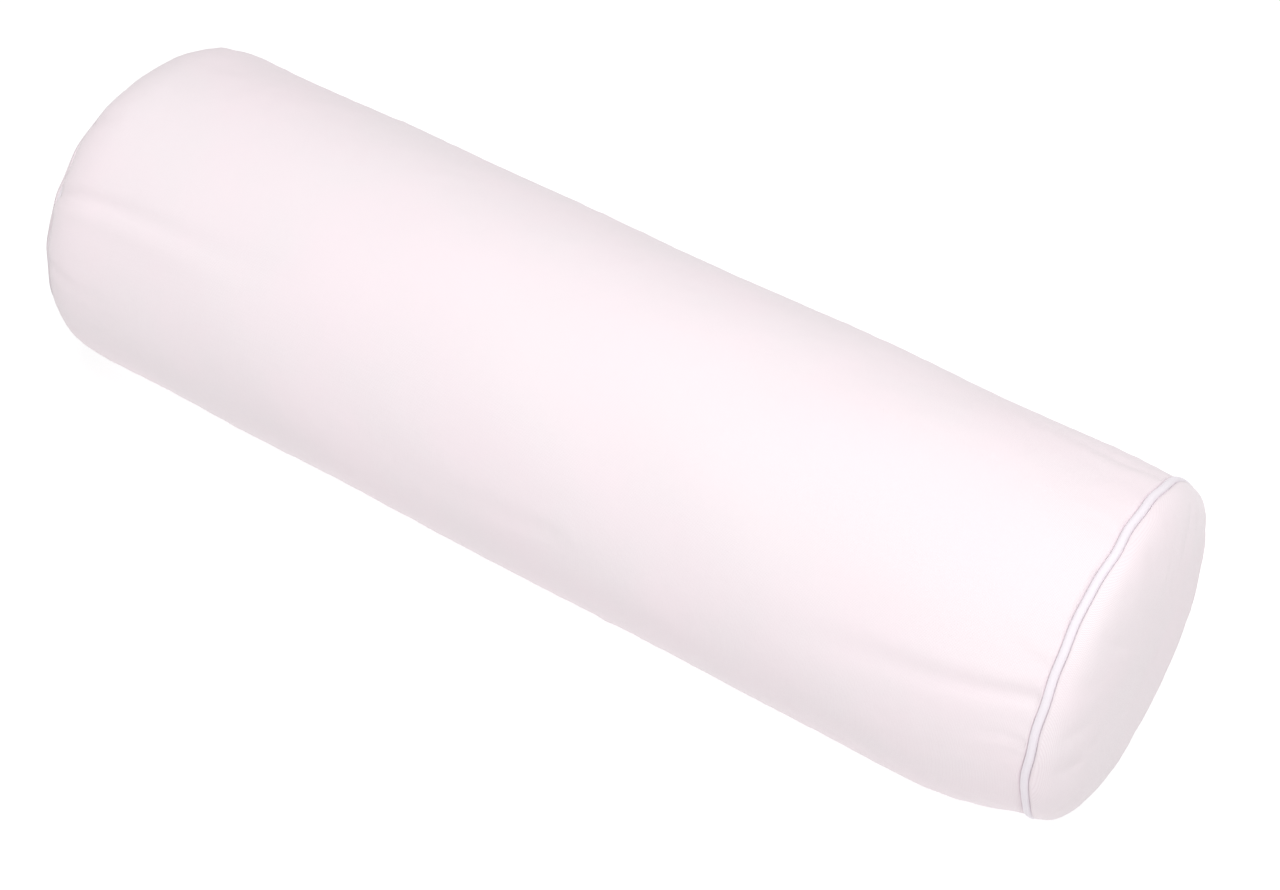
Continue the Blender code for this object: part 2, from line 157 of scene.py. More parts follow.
# %% Shader helper
class Tree:
    """Nodes written as nested calls. A socket is named, or numbered as i0, i1, and set or linked."""

    prefix = ""

    def put(self, node, socket, value):
        place = node.inputs[socket]
        if isinstance(value, bpy.types.NodeSocket):
            self.links.new(value, place)
        else:
            place.default_value = value

    def node(self, kind, output=0, settings=None, **sockets):
        made = self.nodes.new(self.prefix + kind)
        for key, value in (settings or {}).items():
            setattr(made, key, value)
        for label, value in sockets.items():
            socket = int(label[1:]) if label[1:].isdigit() else label.replace("_", " ")
            self.put(made, socket, value)
        return made.outputs[output]

    def sum(self, operation, first, second=0.0, third=0.0):
        kind = "ShaderNodeMath"[len(self.prefix):]
        return self.node(kind, settings={"operation": operation}, i0=first, i1=second, i2=third)

    def times(self, first, second):
        return self.sum("MULTIPLY", first, second)


class Recipe(Tree):
    """The shader nodes of one material."""

    prefix = "ShaderNode"

    def __init__(self, name):
        self.material = bpy.data.materials.new(name)
        self.material.use_nodes = True
        self.nodes = self.material.node_tree.nodes
        self.links = self.material.node_tree.links
        self.shader = self.nodes["Principled BSDF"]

    def split(self, vector):
        return self.node("SeparateXYZ", Vector=vector).node.outputs

    def stretch(self, vector, scale, turn=0.0):
        return self.node("Mapping", Vector=vector, Scale=scale, Rotation=(0, 0, turn))

    def noise(self, vector, scale, detail=2.0, roughness=0.5):
        return self.node("TexNoise", Vector=vector, Scale=scale, Detail=detail, Roughness=roughness)

    def ranged(self, amount, low, high, highest=1.0):
        """0 up to low, rising evenly to highest at high."""
        return self.node("MapRange", i0=amount, i1=low, i2=high, i3=0.0, i4=highest)

    def shade(self, amount, low, high, dark, light):
        return self.mix(self.ranged(amount, low, high), dark, light)

    def mix(self, amount, first, second):
        made = self.nodes.new("ShaderNodeMix")
        made.data_type = "RGBA"
        self.put(made, 0, amount)
        for index, value in ((6, first), (7, second)):
            self.put(made, index, (*value, 1) if isinstance(value, tuple) else value)
        return made.outputs[2]

    def bump(self, height, depth, strength=1.0, normal=None):
        made = self.nodes.new("ShaderNodeBump")
        self.put(made, "Height", height)
        self.put(made, "Distance", depth)
        self.put(made, "Strength", strength)
        if normal is not None:
            self.put(made, "Normal", normal)
        return made.outputs[0]

    def finish(self, colour, roughness, normal=None, **constants):
        self.put(self.shader, "Base Color", colour)
        self.put(self.shader, "Roughness", roughness)
        if normal is not None:
            self.put(self.shader, "Normal", normal)
        for socket, value in constants.items():
            self.shader.inputs[socket.replace("_", " ")].default_value = value
        print("finish", self.material.name)
        return self.material


def toned(colour, *factors):
    """A colour deeper or paler, by one factor or by one each for red, green and blue."""
    return tuple(min(1.0, c * s) for c, s in zip(colour, factors * (3 // len(factors))))


# %% [markdown]
# ## Woven cloth
# The cover is a plain-weave cotton: each thread passes over one and under the next. Two sine waves
# give the round backs of the threads and their product says which of the two lies on top. Cloth
# carries a flat map in metres, so the threads keep their true spacing and run straight along the
# roll. Slubs, the thicker lengths of thread, and a faint clouding of the dye keep it from looking
# printed. The piping is cut on the bias, so its weave is the same one turned by 45 degrees.

# %% Plain weave
def thread_backs(recipe, place, pitch, slub):
    """The height of the round thread backs, and the two wanders of the threads."""
    wander = recipe.noise(recipe.stretch(place, (90, 700, 1)), 1.0, 2.0)
    sway = recipe.noise(recipe.stretch(place, (700, 90, 1)), 1.0, 2.0)
    u, v, _ = recipe.split(recipe.stretch(place, (math.pi / pitch, math.pi / pitch, 1)))
    across = recipe.sum("MULTIPLY_ADD", sway, slub, u)
    along = recipe.sum("MULTIPLY_ADD", wander, slub, v)
    first, second = recipe.sum("SINE", across), recipe.sum("SINE", along)
    over = recipe.sum("GREATER_THAN", recipe.times(first, second), 0.0)
    warp, weft = recipe.sum("ABSOLUTE", first), recipe.sum("ABSOLUTE", second)
    on_top, below = (
        recipe.times(recipe.sum("POWER", upper, 0.6), recipe.sum("MULTIPLY_ADD", lower, 0.6, 0.4))
        for upper, lower in ((warp, weft), (weft, warp))
    )
    height = recipe.node("Mix", settings={"data_type": "FLOAT"}, i0=over, i2=on_top, i3=below)
    return height, wander, sway


def woven(name, colour, pitch=0.62 * MM, turn=0.0, slub=2.2, cloud=0.035):
    recipe = Recipe(name)
    flat = recipe.node("UVMap", settings={"uv_map": "cloth"})
    place = recipe.stretch(flat, (1, 1, 1), turn)
    height, wander, sway = thread_backs(recipe, place, pitch, slub)
    # The valleys between the thread backs are painted darker: this is painted shade in the weave's hollows,
    # laid over the relief the bump gives.
    tone = recipe.shade(height, 0.05, 0.75, toned(colour, 0.86, 0.81, 0.83), colour)
    body = recipe.node("TexCoord", output=3)
    clouds = recipe.noise(body, 17.0, 3.0, 0.55)
    threads = recipe.sum("ADD", recipe.times(wander, 0.5), recipe.times(sway, 0.5))
    tone = recipe.mix(recipe.times(threads, 0.16), tone, toned(colour, 1.03, 1.045, 1.04))
    warm = toned(colour, 1.0, 1 - cloud * 1.6, 1 - cloud)
    tone = recipe.mix(recipe.ranged(clouds, 0.38, 0.66, 0.55), tone, warm)
    nap = recipe.noise(body, 2600.0, 2.0, 0.6)
    relief = recipe.bump(height, 0.09 * MM, 0.55, recipe.bump(nap, 0.05 * MM, 0.35))
    rough = recipe.sum("MULTIPLY_ADD", height, -0.08, 0.9)
    return recipe.finish(
        tone, rough, relief, Sheen_Weight=0.25, Sheen_Roughness=0.5, Specular_IOR_Level=0.25
    )


COVER_PINK = (0.866, 0.796, 0.822)
cover_cotton = woven("cover cotton", COVER_PINK)
piping_cotton = woven("piping cotton", (0.86, 0.815, 0.862), 0.5 * MM, math.pi / 4, 1.6, 0.01)

# %% [markdown]
# ## Twill tape, thread, foam, nylon and metal
# A zip's tape is a fine twill: its threads step one to the side in each row, which shows as slanting
# ribs that turn back every few millimetres. Thread and cotton cord are bundles of fibres, foam is a
# mass of open cells, the coil is translucent nylon, and the slider is enamelled zinc that has worn
# to bare metal along its edges.

# %% Zip tape and thread
def twill(name, colour):
    rib, pick_pitch = 0.55 * MM, 0.4 * MM
    recipe = Recipe(name)
    flat = recipe.node("UVMap", settings={"uv_map": "cloth"})
    u, v, _ = recipe.split(flat)
    slant = recipe.sum("ADD", u, recipe.sum("PINGPONG", v, 2.6 * MM))
    rib_back, pick = (
        recipe.sum("ABSOLUTE", recipe.sum("SINE", recipe.times(way, math.pi / pitch)))
        for way, pitch in ((slant, rib), (v, pick_pitch))
    )
    height = recipe.sum("ADD", recipe.times(rib_back, 0.7), recipe.times(pick, 0.3))
    streak = recipe.noise(recipe.stretch(flat, (60, 2500, 1)), 1.0, 2.0)
    # The grooves between the twill ribs are painted darker: this is painted shade, laid over the relief the
    # bump gives.
    tone = recipe.shade(height, 0.1, 0.8, toned(colour, 0.82), colour)
    tone = recipe.mix(recipe.times(streak, 0.2), tone, toned(colour, 1.06))
    relief = recipe.bump(height, 0.1 * MM, 0.7)
    return recipe.finish(tone, 0.82, relief, Sheen_Weight=0.2, Specular_IOR_Level=0.3)


def fibres(name, colour, scale, depth):
    recipe = Recipe(name)
    body = recipe.node("TexCoord", output=3)
    fine = recipe.noise(recipe.stretch(body, (1, 0.35, 0.35)), scale, 3.0, 0.6)
    broad = recipe.noise(body, 60.0, 2.0)
    tone = recipe.shade(fine, 0.3, 0.7, toned(colour, 0.86), colour)
    tone = recipe.mix(recipe.times(broad, 0.25), tone, toned(colour, 1.05))
    relief = recipe.bump(fine, depth, 0.7)
    return recipe.finish(tone, 0.85, relief, Sheen_Weight=0.3, Specular_IOR_Level=0.3)


tape_twill = twill("zip tape twill", (0.855, 0.765, 0.80))
seam_thread = fibres("seam thread", (0.89, 0.81, 0.845), 4200.0, 0.06 * MM)
cord_cotton = fibres("piping cord cotton", (0.86, 0.83, 0.77), 1800.0, 0.12 * MM)


# %% Foam, nylon, metal and enamel
def open_cells(name, colour):
    recipe = Recipe(name)
    body = recipe.node("TexCoord", output=3)
    cells = recipe.node("TexVoronoi", Vector=body, Scale=900.0)
    pores = recipe.node("TexVoronoi", Vector=body, Scale=380.0)
    height = recipe.sum("ADD", recipe.times(cells, 0.6), recipe.times(pores, 0.4))
    # The pits of the cells are painted darker: this is painted shade inside the pores, laid over the relief
    # the bump gives.
    tone = recipe.shade(height, 0.05, 0.5, toned(colour, 0.72), colour)
    yellowed = recipe.noise(body, 9.0, 3.0)
    tone = recipe.mix(recipe.times(yellowed, 0.4), tone, (0.85, 0.78, 0.60))
    return recipe.finish(tone, 0.95, recipe.bump(height, 0.5 * MM, 0.8), Specular_IOR_Level=0.2)


def moulded_nylon(name, colour):
    recipe = Recipe(name)
    body = recipe.node("TexCoord", output=3)
    drawn = recipe.noise(recipe.stretch(body, (1, 4, 4)), 900.0, 2.0)
    tone = recipe.shade(drawn, 0.3, 0.7, toned(colour, 0.94), colour)
    rough = recipe.sum("MULTIPLY_ADD", drawn, 0.2, 0.25)
    return recipe.finish(
        tone, rough, recipe.bump(drawn, 0.02 * MM, 0.4), Subsurface_Weight=0.15, Subsurface_Scale=0.6 * MM
    )


def crimped_metal(name, colour):
    recipe = Recipe(name)
    body = recipe.node("TexCoord", output=3)
    rolled = recipe.noise(recipe.stretch(body, (200, 2600, 2600)), 1.0, 3.0)
    tarnish = recipe.noise(body, 420.0, 3.0, 0.6)
    tone = recipe.shade(tarnish, 0.35, 0.7, toned(colour, 0.82), colour)
    rough = recipe.sum("MULTIPLY_ADD", rolled, 0.25, 0.22)
    return recipe.finish(tone, rough, recipe.bump(rolled, 0.03 * MM, 0.5), Metallic=1.0)


def worn_enamel(name, colour):
    """Enamel that is rubbed through where edges stand proud; "edge" is stored on the mesh."""
    recipe = Recipe(name)
    body = recipe.node("TexCoord", output=3)
    edge = recipe.node("Attribute", output=2, settings={"attribute_name": "edge"})
    chips = recipe.noise(body, 1100.0, 4.0, 0.65)
    bare = recipe.ranged(recipe.times(edge, chips), 0.36, 0.46)
    orange_peel = recipe.noise(body, 700.0, 2.0)
    pale = recipe.shade(orange_peel, 0.3, 0.7, toned(colour, 0.97), colour)
    tone = recipe.mix(bare, pale, (0.74, 0.73, 0.74))
    rough = recipe.sum("MULTIPLY_ADD", bare, 0.12, 0.22)
    relief = recipe.bump(orange_peel, 0.02 * MM, 0.3)
    made = recipe.finish(tone, rough, relief, Coat_Weight=0.3, Coat_Roughness=0.12)
    recipe.put(recipe.shader, "Metallic", recipe.times(bare, 0.9))
    return made


roll_foam = open_cells("upholstery foam", (0.87, 0.84, 0.74))
coil_nylon = moulded_nylon("coil nylon", (0.875, 0.80, 0.83))
stop_metal = crimped_metal("stop metal", (0.80, 0.79, 0.80))
slider_enamel = worn_enamel("slider enamel", (0.88, 0.80, 0.83))

# %% [markdown]
# ## The form of a sewn, stuffed roll
# A roll is only roughly a cylinder. Its foam bulges past the round end cloths, and each end seam
# draws the cover in over the last few centimetres, more at one end than at the other. The rings
# of the cover are described by one rule: a radius, the pull of each end seam, a small sideways
# shift where the cover has been tugged off centre, and a slight waver in the seam itself.

# %% Rule for the roll's surface
ENDS = {
    1: dict(seam=0.2800, drop=6.1 * MM, reach=26.7 * MM, crown=20.2 * MM, square=2.70,
            shift=(3.5 * MM, 3.7 * MM), tilt=-3.4 * MM, seed=5),
    -1: dict(seam=-0.2850, drop=13.0 * MM, reach=30.0 * MM, crown=13.4 * MM, square=2.67,
             shift=(-3.0 * MM, -4.5 * MM), tilt=0.0, seed=11),
}


WAVER_OUT, OUT_WAVES = 0.3 * MM, (5, 16)  # the seam's waver, and its fewest and most waves a turn
WAVER_ALONG, ALONG_WAVES = 0.85 * MM, (4, 22)


def ripple(turn, seed, lowest, highest):
    """A smooth closed wander round the roll, about 1 at its largest."""
    chance = np.random.default_rng(seed)
    waves = np.arange(lowest, highest + 1)
    sizes = chance.normal(0, 1, len(waves)) / np.sqrt(waves)
    starts = chance.uniform(0, 2 * np.pi, len(waves))
    parts = [a * np.cos(k * turn + s) for k, a, s in zip(waves, sizes, starts)]
    return sum(parts) / (2.2 * np.sqrt((sizes**2).sum() / 2))


def end_pull(side, x):
    """How far the pull of an end seam, and its waver, are felt at x. The left shoulder is fuller."""
    end = ENDS[side]
    away = np.maximum(side * (end["seam"] - x), 0)
    waver = np.exp(-away / (8 * MM))
    if side > 0:
        return np.exp(-((away / end["reach"]) ** 1.5)), waver
    share = np.clip(1 - away / end["reach"], 0, 1)
    return 1 - np.sqrt(1 - share**2.4), waver


def roll_point(x, turn, rise=0.0):
    """A point on the roll, rise above the cover's smooth surface."""
    x, turn = np.broadcast_arrays(np.asarray(x, float), np.asarray(turn, float))
    radius, along = RADIUS + rise, x.copy()
    centre_y, centre_z = 0.0, AXIS_HEIGHT
    for side, end in ENDS.items():
        pull, waver = end_pull(side, x)
        swell = WAVER_OUT * waver * ripple(turn, end["seed"], *OUT_WAVES)
        radius = radius - end["drop"] * pull + swell
        along = along + end["tilt"] * np.sin(turn) * pull
        along = along + WAVER_ALONG * waver * ripple(turn, end["seed"] + 1, *ALONG_WAVES)
        centre_y = centre_y + end["shift"][0] * pull
        centre_z = centre_z + end["shift"][1] * pull
    return np.stack([along, centre_y + radius * np.sin(turn), centre_z - radius * np.cos(turn)], -1)


def settled(points, lift=0.0):
    """Points pressed flat, with a soft edge, where they would sink below the floor."""
    low = points[..., 2] - lift
    points = points.copy()
    points[..., 2] = lift + 0.5 * (low + np.sqrt(low**2 + (0.7 * MM) ** 2))
    return points


def outward_at(turn):
    return np.stack([0 * turn, np.sin(turn), -np.cos(turn)], -1)


def across_zip(turn):
    """Arc from the middle of the zip, within half a turn either way."""
    return RADIUS * ((turn - ZIP_TURN + np.pi) % (2 * np.pi) - np.pi)


print("seam radius", {side: round((RADIUS - end["drop"]) / MM, 1) for side, end in ENDS.items()}, "mm")

# %% [markdown]
# ## Creases and unevenness
# Foam is cut by hand and cloth remembers how it lay in its packet. A crease is drawn as a line on
# the unrolled cover, deepest at the seam it starts from and fading along its length, with a low lip
# on one side where the cloth is pushed up. Under them lies a very soft, large unevenness.

# %% Creases drawn on the unrolled cover
CREASES = (
    # line as (x in mm, turn in degrees), depth, width, lip side
    (((277, 242.5), (246, 245), (200, 249), (151, 255)), 1.5, 6.0, 1),
    (((277, 259), (268, 258), (254, 260)), 1.1, 2.2, -1),
    (((278, 232), (262, 229), (247, 222)), 0.55, 3.2, 1),
    (((-286, 233), (-270, 231), (-244, 229), (-191, 227), (-127, 224)), 2.4, 5.5, 1),
    (((-284, 258), (-262, 262), (-228, 263)), 0.7, 4.0, -1),
    (((-284, 205), (-266, 201), (-243, 202)), 0.6, 3.4, 1),
    (((279, 186), (268, 184), (252, 187)), 0.5, 3.0, 1),
    (((279, 148), (258, 152), (226, 150), (182, 146)), 0.8, 4.6, -1),
    (((-284, 139), (-262, 142), (-231, 150)), 0.8, 3.8, 1),
    (((-284, 92), (-258, 88), (-217, 84)), 0.8, 4.4, -1),
    (((279, 84), (254, 80), (222, 81), (171, 78)), 0.9, 5.0, 1),
    (((40, 262), (-12, 266), (-78, 264)), 0.5, 7.0, 1),
    (((108, 92), (60, 89), (5, 93)), 0.5, 6.5, -1),
)


def crease(x, turn, line, depth, width, lip):
    """Depth of one crease at each point."""
    line = np.array([(a * MM, RADIUS * math.radians(b)) for a, b in line])
    spans = np.linalg.norm(np.diff(line, axis=0), axis=1)
    starts = np.concatenate([[0], np.cumsum(spans)])
    middle = line[:, 1].mean() / RADIUS
    arc = RADIUS * (middle + (turn - middle + np.pi) % (2 * np.pi) - np.pi)
    nearest, beside, reached = np.full(x.shape, 1e9), np.zeros(x.shape), np.zeros(x.shape)
    for (a, b), span, start in zip(zip(line, line[1:]), spans, starts):
        way = (b - a) / span
        run = np.clip((x - a[0]) * way[0] + (arc - a[1]) * way[1], 0, span)
        off_x, off_arc = x - a[0] - run * way[0], arc - a[1] - run * way[1]
        gap = np.hypot(off_x, off_arc)
        closer = gap < nearest
        nearest = np.where(closer, gap, nearest)
        beside = np.where(closer, np.sign(way[0] * off_arc - way[1] * off_x) * gap, beside)
        reached = np.where(closer, (start + run) / starts[-1], reached)
    fade = np.cos(0.5 * np.pi * reached) ** 1.3
    across = beside / (width * MM * (0.7 + 0.6 * reached))
    shape = -np.exp(-(across**2)) + 0.55 * np.exp(-((across - 1.7 * lip) ** 2) / 1.6)
    return depth * MM * fade * shape


def unevenness(x, turn):
    """Soft rise and fall of the surface, with every crease."""
    chance = np.random.default_rng(3)
    total = np.zeros(np.broadcast(x, turn).shape)
    x, turn = np.broadcast_arrays(x, turn)
    for lobes, wave in ((2, 0.41), (3, 0.27), (5, 0.19), (4, 0.13), (7, 0.105)):
        start, lean = chance.uniform(0, 2 * np.pi, 2)
        total += 0.3 * MM * np.cos(lobes * turn + start) * np.cos(2 * np.pi * x / wave + lean)
    for line, depth, width, lip in CREASES:
        total += crease(x, turn, line, depth, width, lip)
    for side, end in ENDS.items():
        gather = np.exp(-np.maximum(side * (end["seam"] - x), 0) / (11 * MM))
        total += 0.22 * MM * gather * ripple(turn, end["seed"] + 2, 22, 40)
    return total


# %% [markdown]
# ## From points to cloth
# All the cloth here is a grid of points: rows along the piece, columns across it. One helper turns
# such a grid into a mesh, gives it the flat map in metres that the weave follows, and gives it real
# thickness with a Solidify modifier, so that every fold and opening shows an edge.

# %% Cloth from a grid
def dress(mesh, material):
    mesh.materials.clear()
    mesh.materials.append(material)
    for face in mesh.polygons:
        face.use_smooth = True


def link(name, mesh, material=None):
    made = bpy.data.objects.new(name, mesh)
    bpy.context.scene.collection.objects.link(made)
    if material is not None:
        dress(mesh, material)
    return made


def declare(piece, body="roller", stands_for=None):
    """Hides the solid that a piece stands for, and attaches the piece to the body it rides."""
    if stands_for is not None:
        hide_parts(stands_for)
    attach(piece, body)


def grid_mesh(name, points, flat, closed=False, poles=(), turned_round=False):
    """A mesh of rows and columns; closed joins the last column to the first.

    A pole, given as (point, map), closes the first row, and a second one the last row.
    """
    rows, columns = points.shape[:2]
    corners = points.reshape(-1, 3)
    map_at = flat.reshape(-1, 2)
    faces, corner_maps = [], []
    for row in range(rows - 1):
        for column in range(columns if closed else columns - 1):
            after = (column + 1) % columns
            ring = [row * columns + column, row * columns + after,
                    (row + 1) * columns + after, (row + 1) * columns + column]
            at = [map_at[index].copy() for index in ring]
            faces.append(ring)
            corner_maps.append(at)
    first_pole, last = len(corners), (rows - 1) * columns
    for column in range(columns):
        after = (column + 1) % columns
        for pole, (_, at) in enumerate(poles):
            pair = [last + column, last + after] if pole else [after, column]
            faces.append([first_pole + pole, *pair])
            corner_maps.append([np.array(at), *map_at[pair]])
    corners = np.concatenate([corners, *([point] for point, _ in poles)])
    if turned_round:
        faces = [face[::-1] for face in faces]
        corner_maps = [at[::-1] for at in corner_maps]
    mesh = bpy.data.meshes.new(name)
    mesh.from_pydata(corners.tolist(), [], faces)
    layer = mesh.uv_layers.new(name="cloth")
    layer.data.foreach_set("uv", np.concatenate([np.array(at).ravel() for at in corner_maps]))
    return mesh


def thicken(piece, thickness):
    wall = piece.modifiers.new("cloth thickness", "SOLIDIFY")
    wall.thickness, wall.offset = thickness, -1.0
    wall.use_even_offset = False
    return piece


# %% [markdown]
# ## Cloth simulation
# Puckers are hard to draw and easy to simulate. A coarser copy of the whole cover, pinned round
# both end seams, is blown up gently by pressure. Its rest shape is a little wider round the roll
# than the copy itself near the seams, as real cloth eased into a tight seam is, so it gathers there.
# Only the difference from a smooth surface is kept, capped at a few millimetres: the roll keeps
# its size, and the same fold pattern can be laid over a finer mesh.

# %% Simulated cover
SIM_COLUMNS, DOME_RINGS = 120, 15
MOST_MOVE = 2.6 * MM
BODY_FOLDS, END_FOLDS = 0.85, 0.9  # how much of the simulated folds the finished cloths take
SIM_SHARES = np.linspace(0, 1, DOME_RINGS + 1)[1:] ** 0.85


def crown_point(side, share, turn, rise=0.0):
    """A point on an end cloth: share 0 at its middle, 1 at its seam."""
    end = ENDS[side]
    height = end["crown"] * np.maximum(1 - share ** end["square"], 0) ** (1 / end["square"])
    radius = (RADIUS - end["drop"]) * share
    wave = WAVER_OUT * ripple(turn, end["seed"], *OUT_WAVES) * share**6
    sway = WAVER_ALONG * ripple(turn, end["seed"] + 1, *ALONG_WAVES) * share**6
    along = end["seam"] + side * (height + rise) + end["tilt"] * share * np.sin(turn) + sway
    y = end["shift"][0] + (radius + wave) * np.sin(turn)
    z = AXIS_HEIGHT + end["shift"][1] - (radius + wave) * np.cos(turn)
    return np.stack(np.broadcast_arrays(along, y, z), -1)


def simulated_folds():
    """Moves of a pinned, pressurised cover: (body moves, right moves, left moves)."""
    turns = 2 * np.pi * np.arange(SIM_COLUMNS) / SIM_COLUMNS
    body_x = np.linspace(ENDS[-1]["seam"], ENDS[1]["seam"], 124)
    left_dome = [crown_point(-1, share, turns) for share in SIM_SHARES[:-1]]
    right_dome = [crown_point(1, share, turns) for share in SIM_SHARES[:-1]][::-1]
    smooth = np.array(left_dome + [roll_point(x, turns) for x in body_x] + right_dome)
    dome_eases = [0.004 + 0.018 * share**4 for share in SIM_SHARES[:-1]]
    nearest = [min(x - body_x[0], body_x[-1] - x) for x in body_x]
    body_eases = [0.001 + 0.021 * math.exp(-((near / 0.03) ** 2)) for near in nearest]
    eases = dome_eases + body_eases + dome_eases[::-1]
    chance = np.random.default_rng(8)
    start = smooth.copy()
    start[..., 1:] += 0.12 * MM * chance.normal(0, 1, smooth.shape[:2])[..., None]
    count, columns = smooth.shape[:2]
    first, last = DOME_RINGS - 1, DOME_RINGS - 1 + len(body_x) - 1
    start[[first, last]] = smooth[[first, last]]
    poles = [crown_point(-1, 0.0, 0.0), crown_point(1, 0.0, 0.0)]
    no_map = np.zeros((count, columns, 2))
    bag = link("cover to inflate", grid_mesh(
        "cover to inflate", start, no_map, True, [(pole, (0.0, 0.0)) for pole in poles]))
    bag.shape_key_add(name="as placed")
    eased = bag.shape_key_add(name="as cut")
    centres = smooth.mean(axis=1, keepdims=True)
    cut = (centres + (smooth - centres) * (1 + np.array(eases))[:, None, None]).reshape(-1, 3)
    cut = np.concatenate([cut, poles])
    eased.data.foreach_set("co", cut.ravel())
    held = bag.vertex_groups.new(name="sewn")
    for row in (first, last):
        held.add(list(range(row * columns, (row + 1) * columns)), 1.0, "REPLACE")
    cloth = bag.modifiers.new("cloth", "CLOTH")
    feel = cloth.settings
    feel.rest_shape_key = eased
    feel.quality, feel.mass, feel.air_damping = 5, 0.3, 4
    feel.tension_stiffness = feel.compression_stiffness = 15
    feel.shear_stiffness, feel.bending_stiffness = 6, 0.35
    feel.vertex_group_mass = "sewn"
    feel.use_pressure, feel.uniform_pressure_force = True, 4
    feel.effector_weights.gravity = 0
    cloth.collision_settings.use_collision = False
    cloth.point_cache.frame_end = 30
    for frame_number in range(1, 21):
        bpy.context.scene.frame_set(frame_number)
    shaped = bpy.data.meshes.new_from_object(bag.evaluated_get(bpy.context.evaluated_depsgraph_get()))
    found = np.empty(3 * len(shaped.vertices))
    shaped.vertices.foreach_get("co", found)
    bpy.context.scene.frame_set(1)
    bpy.data.objects.remove(bag)
    moves = found.reshape(-1, 3)[:-2].reshape(count, columns, 3) - smooth
    outward = outward_at(turns)
    body = (moves[first : last + 1] * outward).sum(-1)
    body -= body.mean(axis=1, keepdims=True)
    ends = []
    for rows, sign in ((slice(last, count), 1), (slice(0, first + 1), -1)):
        raised = sign * moves[rows, :, 0] + 0.35 * (moves[rows] * outward).sum(-1)
        ends.append(raised - raised.mean(axis=1, keepdims=True))
    print(f"simulated {count * columns} points; folds {body.std() / MM:.2f} mm on the body, "
          f"{ends[0].std() / MM:.2f} and {ends[1].std() / MM:.2f} mm on the ends")
    return [np.clip(part, -MOST_MOVE, MOST_MOVE) for part in (body, ends[0], ends[1][::-1])]


folds = simulated_folds()


# %% Reading the folds at any point
def cubic(values, place, wrapped):
    """Catmull-Rom weights and rows for places given in row numbers."""
    base = np.floor(place).astype(int)
    f = place - base
    weights = [-0.5 * f + f**2 - 0.5 * f**3, 1 - 2.5 * f**2 + 1.5 * f**3,
               0.5 * f + 2 * f**2 - 1.5 * f**3, -0.5 * f**2 + 0.5 * f**3]
    rows = [base + step for step in (-1, 0, 1, 2)]
    rows = [r % values if wrapped else np.clip(r, 0, values - 1) for r in rows]
    return list(zip(rows, weights))


def read_field(field, row, turn):
    column = (turn / (2 * np.pi)) % 1.0 * field.shape[1]
    total = 0.0
    for r, a in cubic(field.shape[0], row, False):
        for c, b in cubic(field.shape[1], column, True):
            total = total + a * b * field[r, c]
    return total


def clear_of_zip(x, turn):
    """0 on the zip, which keeps the cloth straight, and 1 a few centimetres from it."""
    away = np.abs(across_zip(turn))
    beside = np.clip((away - 7 * MM) / (28 * MM), 0, 1)
    beyond = np.clip((np.abs(x) - 0.232) / 0.03, 0, 1)
    free = np.maximum(beside * beside * (3 - 2 * beside), beyond)
    return 0.06 + 0.94 * free


def cover_rise(x, turn):
    """How far the finished cover stands above its smooth form."""
    x, turn = np.broadcast_arrays(x, turn)
    rise = unevenness(x, turn)
    if folds is not None:
        low, high = ENDS[-1]["seam"], ENDS[1]["seam"]
        row = np.clip((x - low) / (high - low), 0, 1) * (folds[0].shape[0] - 1)
        rise = rise + BODY_FOLDS * read_field(folds[0], row, turn)
    return rise * clear_of_zip(x, turn)


# %% [markdown]
# ## The cover: one rectangle of cloth
# The rectangle is wrapped so that its long edges meet along the back. There each edge is folded
# under. Between the two ends of the zip the folds stand 12 mm apart and show the zip; beyond it they
# come together in a plain seam that dips a little, as a pressed-open seam does. At each end the
# cloth turns in beside the piping and runs down into the seam allowance.

# %% Columns across the cloth
CLOTH = 0.45 * MM
FOLD = [(15.8, -1.04), (12.5, -1.02), (9.6, -1.0), (7.6, -0.98), (6.5, -0.92), (5.98, -0.74),
        (5.8, -0.46), (5.95, -0.15), (6.35, -0.02), (7.0, 0), (7.8, 0), (8.5, 0), (9.0, 0),
        (9.5, 0), (10.2, 0), (11.4, 0), (13.2, 0), (15.8, 0)]
girth = 2 * np.pi * RADIUS
plain = np.arange(18.8 * MM, girth / 2, 2.9 * MM)
near_edge = [(t * MM, h * MM, 1) for t, h in FOLD] + [(t, 0.0, 1) for t in plain]
far_edge = [(girth - t, h, -1) for t, h, _ in near_edge[::-1]]
columns = np.array(near_edge + far_edge)
edge_gap = np.minimum(columns[:, 0], girth - columns[:, 0])
cut = np.concatenate([[0], np.cumsum(np.hypot(np.diff(columns[:, 0]), np.diff(columns[:, 1])))])

# %% Rows along the cloth
TURN_IN = [(-2.75, 0.8), (-2.4, 0.4), (-2.22, -0.2), (-2.18, -0.8), (-1.9, -1.7),
           (-1.35, -2.8), (-0.95, -4.2), (-0.85, -6.6), (-0.85, -10.2)]
BEAD_SET_BACK = 1.0 * MM
LEAST_STEP = 0.9 * MM
BESIDE_SLOT_END = (9.5, 7.5, 5.5, 3.5, 1.5, -0.7, -3)
places = list(np.arange(-0.238, 0.2381, 0.004))
places += [side * (SLOT_END - step * MM) for side in (1, -1) for step in BESIDE_SLOT_END]
turns_in = {}
for side, end in ENDS.items():
    edge = end["seam"] - side * 3.3 * MM
    places += list(np.linspace(side * 0.241, edge, 18))
    turns_in[side] = [(end["seam"] + side * dx * MM, dr * MM) for dx, dr in TURN_IN]
places.sort()
body_rows = [(x, None) for before, x in zip([-1.0] + places, places) if x - before >= LEAST_STEP]
rows = turns_in[-1][::-1] + body_rows + turns_in[1]
